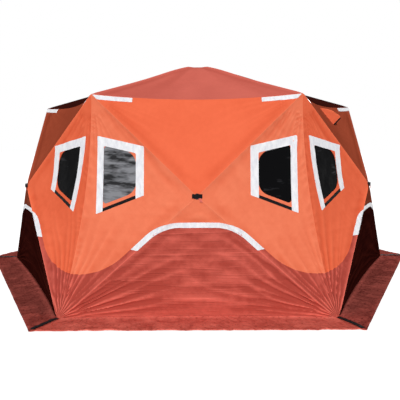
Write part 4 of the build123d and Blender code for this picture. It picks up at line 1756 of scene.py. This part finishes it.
@dataclass
class Roof:
    """Six roof panels that meet over the roof hub."""

    form: HutForm
    finishes: Finishes
    rings: int = 60
    spokes: int = 64
    first_share: float = 0.012
    ring_power: float = 0.9
    peak_softness: float = 0.00002
    bow: float = 0.022
    bow_centre: float = 0.22
    bow_width: float = 0.28
    eave_length: float = 1.7
    slope_length: float = 1.5
    pole: float = 0.004
    pole_half: float = 0.014
    trough_side: float = 0.06
    trough_half: float = 0.04
    fold: float = 0.004
    fold_scale: Pair = (9.0, 2.2)
    fold_shift: float = 3.0
    fold_from: Pair = (0.02, 0.3)
    fold_clear: float = 0.08
    pole_from: Pair = (0.03, 0.12)
    eave_still: Pair = (1.0, 0.96)
    shown_rise: float = 100.0
    cut_shift: float = 0.61

    def heights(self, share: Array, across: Array, edge: Array, noise: Noise | None) -> Array:
        """Points of one panel.

        Args:
            share: Share of the way from peak to eave.
            across: Place along the eave, from 0 to 1.
            edge: The eave's points at those places.
            noise: Which noise creases it, or None for a smooth panel.

        Returns:
            Points, one a row.
        """
        form = self.form
        apex = np.array([0, 0, form.apex_height])
        points = apex + share[:, None] * (edge - apex)
        radius = np.hypot(points[:, 0], points[:, 1])
        cone = form.peak_height - form.peak_slope * radius
        gap = points[:, 2] - cone
        points[:, 2] = points[:, 2] - 0.5 * (gap + np.sqrt(gap * gap + self.peak_softness))
        points[:, 2] += self.bow * swell(share, self.bow_centre, self.bow_width)
        if noise is None:
            return points
        ridge = np.minimum(across, 1 - across) * share * self.eave_length
        rim = smooth_step(*self.eave_still, share)
        over = swell(ridge, 0.0, self.pole_half) - swell(ridge, self.trough_side, self.trough_half)
        along, down = self.fold_scale
        fold = noise(across * along + self.fold_shift, share * down) * smooth_step(*self.fold_from, share)
        points[:, 2] += self.pole * over * rim * smooth_step(*self.pole_from, share)
        points[:, 2] += self.fold * fold * smooth_step(0.0, self.fold_clear, ridge) * rim
        return points

    def panel(self, name: WallName) -> Piece:
        """Builds and dresses the panel over one wall.

        Args:
            name: The wall.

        Returns:
            The panel.
        """
        form = self.form
        right = form.corner(form.eave_radius, -WALL_TURN, form.eave_height)
        left = form.corner(form.eave_radius, -2 * WALL_TURN, form.eave_height)
        eave = form.sagging_edge(left, right, form.eave_sag, self.spokes + 1)
        shares = np.linspace(self.first_share, 1, self.rings + 1) ** self.ring_power
        share, spoke = np.meshgrid(shares, np.arange(self.spokes + 1), indexing="ij")
        share, spoke = share.ravel(), spoke.ravel()
        across = spoke / self.spokes
        outer = self.heights(share, across, eave[spoke], Noise(300 + name.value))
        inner = outer - (outer - form.centre) / form.hub_reach * form.cloth
        points, faces = Sewing.shell(outer, inner, *grid_net(self.rings + 1, self.spokes + 1))
        smooth = self.heights(share, across, eave[spoke], None)
        # Crease height, which the finish paints as shade in hollows and highlight on crests.
        crease = self.shown_rise * (outer[:, 2] - smooth[:, 2])
        near = np.minimum(across, 1 - across) * share * self.eave_length
        place = [(across - 0.5) * share * self.eave_length, share * self.slope_length]
        shift = np.full(len(share), self.cut_shift * name.value)
        flat = np.column_stack([*place, shift, crease, 0 * crease, near])
        layers = [(points, faces, np.concatenate([flat, flat]))]
        piece = Sewing(name.value).piece(f"{name.word}_roof_cloth", layers)
        # The slanting walls' roof panels take the roof cloth painted darker as shade.
        self.finishes.carry(piece, "roof_cloth" if name.bright else "roof_shaded_cloth")
        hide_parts(f"{name.word}_roof_panel")
        return piece

    def build(self) -> list[Piece]:
        """Builds and dresses all the panels."""
        return [self.panel(name) for name in WallName]


@dataclass
class SnowSkirt:
    """Quilted skirt that lies on the ground round the walls."""

    form: HutForm
    finishes: Finishes
    width: float = 0.232
    thickness: float = 0.0045
    end_gap: float = 0.0006
    wall_gap: float = 0.0003
    strap_clear: float = 0.018
    along: int = 240
    deep: int = 22
    rumple: float = 0.007
    rumple_scale: Pair = (11.0, 9.0)
    fine: float = 0.004
    fine_scale: float = 38.0
    most: float = 0.02
    ripple: float = 0.003
    ripple_scale: float = 6.0
    roll: float = 0.008
    hollow: float = 0.6
    rumple_from: float = 0.10
    ripple_from: float = 0.75
    roll_depths: Pair = (0.25, 0.04)
    hollow_from: float = 0.2
    even_rise: float = 0.006
    shown_rise: float = 100.0
    cut_shift: float = 0.2

    def rise(self, name: WallName, x: Array, y: Array, depth: Array, from_end: Array) -> Array:
        """Height of the rumpled cloth over a flat one.

        Args:
            name: The wall that the stretch of skirt belongs to.
            x: Places along the wall.
            y: Places away from it.
            depth: Share of the way from the wall to the outer edge.
            from_end: How free the cloth is of the straps at its ends.

        Returns:
            Heights in metres.
        """
        noise, fine = Noise(500 + name.value), Noise(520 + name.value)
        along, away = self.rumple_scale
        rumple = self.rumple * np.abs(noise(x * along, y * away))
        rumple = rumple + self.fine * np.abs(fine(x * self.fine_scale, y * self.fine_scale))
        rumple = rumple * smooth_step(0, self.rumple_from, depth)
        ripple = self.ripple * (1 + noise(x * self.ripple_scale + 3, y + 2))
        ripple = ripple * smooth_step(self.ripple_from, 1.0, depth)
        last, full = self.roll_depths
        roll = self.roll * smooth_step(last, 0.0, depth) * smooth_step(0, full, depth)
        return (np.clip(rumple, 0, self.most) + ripple + roll) * from_end

    def stretch(self, name: WallName) -> Shell:
        """The skirt's stretch beside one wall.

        Args:
            name: The wall.

        Returns:
            Points, triangles, and what the finishes read.
        """
        count = self.along + 1
        surface = WallSurface(self.form, 1)
        reach = self.form.base_radius + self.width / FLAT_REACH
        half = surface.ground_half - self.end_gap
        across = np.linspace(-half, half, count)
        inner = surface.place(np.stack([across, np.zeros_like(across)], 1), self.wall_gap)[0][:, :2]
        outer_half = reach * 0.5 - self.end_gap
        outer_across = np.linspace(-outer_half, outer_half, count)
        outer = np.stack([outer_across, np.full(count, -reach * FLAT_REACH)], 1)
        share = np.linspace(0, 1, self.deep + 1)
        flat = inner[None] + share[:, None, None] * (outer - inner)[None]
        x, y = flat[..., 0].ravel(), flat[..., 1].ravel()
        depth = np.repeat(share, count)
        end = np.abs(np.tile(np.linspace(-1, 1, count), self.deep + 1))
        free = smooth_step(self.strap_clear, 3 * self.strap_clear, (1 - end) * outer_half)
        rise = self.rise(name, x, y, depth, free)
        top = np.stack([x, y, self.thickness + rise], 1)
        bottom = np.stack([x, y, self.hollow * rise * smooth_step(0.0, self.hollow_from, depth)], 1)
        points, faces = Sewing.shell(top, bottom, *grid_net(self.deep + 1, count))
        # Rise over the even cloth, which the finish paints as shade in hollows and highlight on rises.
        lay = [self.shown_rise * (rise - self.even_rise), 0 * rise, 0 * rise + 1]
        flat = np.column_stack([x, y, np.full(len(x), self.cut_shift * name.value), *lay])
        return spun(points, WALL_TURN * name.value), faces, np.concatenate([flat, flat])

    def build(self) -> list[Piece]:
        """Builds and dresses the skirt."""
        parts = [self.stretch(name) for name in WallName]
        piece = Sewing().piece("ground_skirt", parts)
        self.finishes.carry(piece, "skirt_cloth")
        # The slanting walls' stretches take the skirt cloth painted darker as shade.
        slanting = {wall.value for wall in WallName if not wall.bright}
        self.finishes.second(piece, "skirt_shaded_cloth", parts, slanting)
        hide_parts("snow_skirt")
        return [piece]


@dataclass
class Straps:
    """Webbing: a strap across each skirt corner, one over each hub cap, and a tab below it."""

    form: HutForm
    finishes: Finishes
    width: float = 0.036
    thickness: float = 0.0018
    crown: float = 0.0006
    skirt: float = 0.005
    skirt_reach: float = 2.4179
    wall_clear: float = 0.004
    skirt_clear: float = 0.0004
    tail: float = 0.030
    bunch: float = 0.0035
    bunch_scale: float = 38.0
    bunch_from: float = 0.03
    pull_half: float = 0.038
    pull_width: float = 0.032
    pull_rise: float = 0.0085
    pull_clear: float = 0.0035
    pull_lift: float = 0.002
    pull_wave: float = 0.006
    pull_wave_scale: float = 2.5
    pull_lean: float = 0.5
    tab_side: float = 0.020
    tab_lean: float = 0.012
    tab_head: float = 0.012
    tab_length: float = 0.030
    tab_width: float = 0.020

    def ribbon(self, line: Array, side: Array, up: Array, width: float) -> Shell:
        """Closed ribbon with a soft crown along a line.

        Args:
            line: Points along its middle.
            side: Unit vector across it.
            up: Unit vectors square to it at each point, or one for all.
            width: Its width.

        Returns:
            Points, triangles, and what the finishes read.
        """
        up = np.broadcast_to(up, line.shape)
        steps = np.linspace(-1, 1, 9)
        crown = self.crown * (1 - steps**2)
        flat = line[:, None] + steps[None, :, None] * side * width / 2
        top = flat + up[:, None] * crown[None, :, None]
        bottom = flat - up[:, None] * self.thickness
        rows, columns = len(line), len(steps)
        net = grid_net(rows, columns)
        points, faces = Sewing.shell(top.reshape(-1, 3), bottom.reshape(-1, 3), *net)
        along = np.repeat(np.arange(rows) / rows, columns)
        read = np.column_stack([along, np.tile(steps, rows), *([0 * along] * 4)])
        return points, faces, np.concatenate([read, read])

    def corner(self, noise: Noise) -> Shell:
        """Strap out across the skirt from a base corner, towards +X.

        Args:
            noise: What makes it bunch up.

        Returns:
            The strap.
        """
        reach = np.linspace(self.form.base_radius + self.wall_clear, self.skirt_reach - self.tail, 60)
        bunch = self.bunch * (1 + noise(reach * self.bunch_scale, reach * 0))
        bunch = bunch * smooth_step(0, self.bunch_from, reach - reach[0])
        height = self.skirt + self.thickness + self.skirt_clear + bunch
        line = np.stack([reach, 0 * reach, height], 1)
        return self.ribbon(line, np.array([0.0, 1.0, 0.0]), np.array([0.0, 0.0, 1.0]), self.width)

    def pull(self, noise: Noise) -> tuple[Shell, float]:
        """Strap over the front hub's cap.

        Args:
            noise: What makes it wavy.

        Returns:
            The strap, and how far its middle stands from the hut's axis.
        """
        turns = np.linspace(-1, 1, 40)
        rise = self.pull_rise * np.sqrt(np.clip(1 - turns**2, 0, 1))
        away = self.form.hub_reach + self.pull_clear + rise
        wave = self.pull_wave * noise(turns * self.pull_wave_scale, turns * 0 + 4)
        height = self.form.hub_height + wave
        line = np.stack([turns * self.pull_half, -away - self.pull_lift, height], 1)
        up = np.stack([turns * self.pull_lean, -np.ones_like(turns), 0 * turns], 1)
        up = up / np.linalg.norm(up, axis=1)[:, None]
        strap = self.ribbon(line, np.array([0.0, 0.0, 1.0]), up, self.pull_width)
        return strap, away[len(away) // 2]

    def tab(self, away: float) -> Shell:
        """Tab that hangs below the front hub, at a distance from the hut's axis.

        Args:
            away: The distance.

        Returns:
            The tab.
        """
        drop = np.linspace(0, 1, 12)
        across = self.tab_side + self.tab_lean * drop
        height = self.form.hub_height - self.tab_head - self.tab_length * drop
        line = np.stack([across, -away + 0 * drop, height], 1)
        return self.ribbon(line, np.array([1.0, 0.0, 0.0]), np.array([0.0, -1.0, 0.0]), self.tab_width)

    def around(self, name: str, ribbons: list[Shell], first: float, finish: str) -> Piece:
        """One object of six ribbons set round the hut.

        Args:
            name: The object's name.
            ribbons: One ribbon a wall or corner.
            first: Degrees by which the first one is turned.
            finish: The finish's name.

        Returns:
            The new object.
        """
        turned = enumerate(ribbons)
        parts = [(spun(points, WALL_TURN * n + first), faces, flats) for n, (points, faces, flats) in turned]
        piece = Sewing().piece(name, parts)
        self.finishes.carry(piece, finish)
        return piece

    def build(self) -> list[Piece]:
        """Builds and dresses the straps and tabs."""
        noises = [Noise(700 + wall.value) for wall in WallName]
        pulls = [self.pull(noise) for noise in noises]
        corners = [self.corner(noise) for noise in noises]
        corner = self.around("corner_webbing", corners, -WALL_TURN, "black_webbing")
        hub = self.around("hub_webbing", [strap for strap, _ in pulls], 0.0, "black_webbing")
        tabs = self.around("hub_tabs", [self.tab(away) for _, away in pulls], 0.0, "skirt_cloth")
        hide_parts("corner_straps")
        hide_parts("pull_straps")
        return [corner, hub, tabs]


@dataclass
class VentHood:
    """Cloth scoop over the vent in one wall's top panel, propped open at its mouth."""

    form: HutForm
    finishes: Finishes
    wall: WallName = WallName.FRONT_RIGHT
    tip: Pair = (-0.110, 1.658)
    mouth_foot: Pair = (0.040, 1.505)
    mouth_head: Pair = (0.112, 1.640)
    sink: float = 0.002
    rise: float = 0.0915
    peak_share: float = 0.17
    peak_step: float = 0.4
    mouth_bulge: float = 0.022
    bulge: float = 0.018
    dent: float = 0.004
    dent_scale: Pair = (5.0, 0.16)
    cut_scale: Pair = (0.25, 0.006)
    shown_dent: float = 60.0
    shown_seam: float = 0.03
    thickness: float = 0.003
    inner_depth: float = 0.06
    rows: int = 46
    spokes: int = 40
    hem: float = 0.016
    hem_spokes: int = 30
    hem_sink: float = 0.004
    hem_thickness: float = 0.0025

    def mouth(self, foot: Array, head: Array, outward: Array) -> Array:
        """Points of the mouth's edge, up to its peak and down to its head.

        Args:
            foot: Where the edge leaves the wall at its foot.
            head: Where it comes back to the wall.
            outward: Unit vector off the wall.

        Returns:
            Points, one a row.
        """
        peak = foot + self.peak_share * (head - foot) + self.rise * outward
        step = np.linspace(0, 1, self.spokes + 1)
        low = np.clip(step / self.peak_step, 0, 1)[:, None]
        high = np.clip((step - self.peak_step) / (1 - self.peak_step), 0, 1)[:, None]
        arch = foot + low * (peak - foot) + high * (head - peak)
        return arch + self.mouth_bulge * np.sin(math.pi * high) * outward

    def scoop(self, arch: Array, tip: Array, outward: Array) -> Shell:
        """Skin from the tip to the mouth's edge.

        Args:
            arch: Points of the mouth's edge.
            tip: Where the skin leaves the wall.
            outward: Unit vector off the wall.

        Returns:
            Points, triangles, and what the finishes read.
        """
        count = self.spokes + 1
        shares = np.linspace(0.01, 1, self.rows)
        share, spoke = np.meshgrid(shares, np.arange(count), indexing="ij")
        share, spoke = share.ravel(), spoke.ravel()
        full = np.sin(np.pi * spoke / self.spokes)
        along, round_mouth = self.dent_scale
        dent = self.dent * Noise(905)(share * along, spoke * round_mouth)
        dent = dent + self.bulge * np.sin(math.pi * share) * full
        skin = tip + share[:, None] * (arch[spoke] - tip) + (dent * full)[:, None] * outward
        middle = (arch[0] + arch[-1]) / 2
        inward = middle + (tip - middle) * 0.5 - skin
        inner = skin + inward * (self.thickness / self.inner_depth)
        triangles, rim = grid_net(self.rows, count)
        a, b, c = skin[triangles[len(triangles) // 4]]
        if np.cross(b - a, c - a) @ outward < 0:
            triangles, rim = triangles[:, ::-1], rim[:, ::-1]
        points, faces = Sewing.shell(skin, inner, triangles, rim)
        # Dent height and distance from the mouth, which the finish paints as shade and highlight, with a
        # painted highlight along the mouth.
        seam = self.shown_seam * (1 - share)
        along, round_mouth = self.cut_scale
        place = [share * along, spoke * round_mouth, 0 * share]
        read = np.column_stack([*place, self.shown_dent * dent, 0 * share, seam])
        return points, faces, np.concatenate([read, read])

    def build(self) -> list[Piece]:
        """Builds and dresses the hood and its hem, a black strip that is also painted shadow under the mouth.

        Returns:
            The hood and the hem with its painted shadow.
        """
        surface = WallSurface.of(self.form, self.wall)
        spots = np.array([self.tip, self.mouth_foot, self.mouth_head])
        (tip, foot, head), _ = surface.place(spots, -self.sink)
        outward = np.cross(head - foot, tip - foot)
        outward = outward / np.linalg.norm(outward) * (-1 if outward[1] > 0 else 1)
        arch = self.mouth(foot, head, outward)
        sewing = Sewing(self.wall.value)
        piece = sewing.piece("vent_scoop", [self.scoop(arch, tip, outward)])
        self.finishes.carry(piece, "orange_top_cloth")
        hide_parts("vent_hood")
        # Black strip under the mouth's edge: a hem, and painted shadow under the open hood.
        away = (foot - tip) / np.linalg.norm(foot - tip)
        line = arch[: self.hem_spokes] - self.hem_sink * outward
        front = np.concatenate([line, line + self.hem * away])
        back = front - self.hem_thickness * outward
        points, faces = sewing.shell(front, back, *grid_net(2, len(line)))
        hem = sewing.piece("vent_scoop_hem_shadow", [(points, faces, np.zeros((len(points), 6)))])
        self.finishes.carry(hem, "black_webbing")
        return [piece, hem]


@dataclass
class Fittings:
    """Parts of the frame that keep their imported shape."""

    finishes: Finishes
    kinds: dict[str, str] = field(
        default_factory=lambda: {
            "wall_poles": "pole_fibreglass",
            "roof_poles": "pole_fibreglass",
            "wall_hubs": "hub_plastic",
            "hub_caps": "hub_plastic",
            "roof_hub": "hub_plastic",
            "eave_pockets": "hub_plastic",
            "base_pockets": "hub_plastic",
            "strap_eyelets": "eyelet_steel",
            "hood_prop": "hub_plastic",
        }
    )

    def build(self, nodes: dict[str, Piece]) -> None:
        """Gives each fitting its finish.

        Args:
            nodes: The frame's nodes by name.
        """
        for node, finish in self.kinds.items():
            for slot in nodes[node].material_slots:
                slot.material = self.finishes.made[finish]
            log.info("%s: %s", node, finish)


@dataclass(frozen=True)
class Lamp:
    """A soft sun: its strength, where it shines from and at, and its width in degrees."""

    name: str
    energy: float
    place: Triple
    spread: float
    aim: Triple = (0.0, 0.0, 0.9)

    def build(self) -> None:
        """Adds the lamp to the scene."""
        data = bpy.data.lights.new(self.name, "SUN")
        data.energy, data.angle = self.energy, math.radians(self.spread)
        lamp = placed(self.name, data)
        lamp.location = self.place
        lamp.rotation_euler = (Vector(self.aim) - Vector(self.place)).to_track_quat("-Z", "Y").to_euler()


@dataclass
class Studio:
    """Floor, sky, lamps and camera."""

    camera_place: Triple = (0.0219, -5.1080, 1.3313)
    pitch: float = -0.1281
    yaw: float = 0.0004
    roll: float = -0.0047
    focal_pixels: float = 442.5
    frame_pixels: float = 400.0
    sensor: float = 36.0
    farthest: float = 200.0
    sky: float = 0.22
    floor_half: float = 60.0
    floor_drop: float = 0.002
    floor_grey: tuple[float, float, float, float] = (0.35, 0.35, 0.36, 1.0)
    floor_glow: float = 0.62
    white: tuple[float, float, float, float] = (1.0, 1.0, 1.0, 1.0)
    lamps: tuple[Lamp, ...] = (
        Lamp("front_key", 2.55, (-0.3, -6.0, 3.5), 10.0),
        Lamp("back_fill", 1.0, (1.2, 6.0, 3.0), 30.0),
    )

    @staticmethod
    def seen(paint: Paint) -> Field:
        """Whether a ray comes from the camera, straight, off a gloss or through a pane.

        Args:
            paint: The tree that asks.

        Returns:
            1 if it does, else 0.
        """
        rays = paint.node("LightPath").outputs
        kinds = (rays[f"Is {kind} Ray"] for kind in ("Camera", "Glossy", "Transmission"))
        camera, glossy, through = (paint.number(kind) for kind in kinds)
        return (camera + glossy + through).held()

    def floor(self) -> None:
        """Pale floor that keeps the hut's shadow and looks white to the camera."""
        paint = Paint.named("pale_floor")
        seen = self.seen(paint)
        plain = paint.node("BsdfDiffuse", None, Color=self.floor_grey)
        pale = paint.node("BsdfDiffuse", None, Color=self.white)
        glow = paint.node("Emission", None, Color=self.white, Strength=self.floor_glow)
        both = paint.joined("AddShader", pale.outputs[0], glow.outputs[0])
        mix = paint.joined("MixShader", seen, plain.outputs[0], both)
        paint.node("OutputMaterial", None, Surface=mix)
        mesh = bpy.data.meshes.new("pale_floor")
        sides = ((-1, -1), (1, -1), (1, 1), (-1, 1))
        half = self.floor_half
        corners = [(x * half, y * half, -self.floor_drop) for x, y in sides]
        mesh.from_pydata(corners, [], [(0, 1, 2, 3)])
        mesh.materials.append(paint.owner)
        placed("pale_floor", mesh)

    def world(self) -> None:
        """Soft even sky, white where it is seen directly."""
        world = bpy.data.worlds.new("soft_sky")
        bpy.context.scene.world = world
        paint = Paint(world)
        dim = paint.node("Background", None, Color=self.white, Strength=self.sky)
        bright = paint.node("Background", None, Color=self.white, Strength=1.0)
        mix = paint.joined("MixShader", self.seen(paint), dim.outputs[0], bright.outputs[0])
        paint.node("OutputWorld", None, Surface=mix)

    def camera(self) -> None:
        """Camera at the photographer's place."""
        data = bpy.data.cameras.new("camera")
        data.sensor_width = self.sensor
        data.sensor_fit = "HORIZONTAL"
        data.lens = self.focal_pixels / self.frame_pixels * data.sensor_width
        data.clip_end = self.farthest
        camera = placed("camera", data)
        camera.location = self.camera_place
        aim = Matrix.Rotation(self.yaw, 4, "Z") @ Matrix.Rotation(math.pi / 2 + self.pitch, 4, "X")
        camera.rotation_euler = (aim @ Matrix.Rotation(self.roll, 4, "Z")).to_euler()
        bpy.context.scene.camera = camera
        bpy.context.scene.view_settings.view_transform = "Standard"

    def build(self) -> None:
        """Sets up the whole studio."""
        self.floor()
        self.world()
        for lamp in self.lamps:
            lamp.build()
        self.camera()


def main() -> None:
    """Builds every piece in order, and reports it."""
    logging.basicConfig(level=logging.INFO)
    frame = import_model()
    form, finishes = HutForm(), Finishes()
    for part in (Walls, Roof, SnowSkirt, Straps, VentHood):
        for piece in part(form, finishes).build():
            log.info("%s: %d triangles", piece.name, len(piece.data.polygons))
    Fittings(finishes).build(frame["nodes"])
    Studio().build()


if __name__ == "__main__":
    main()
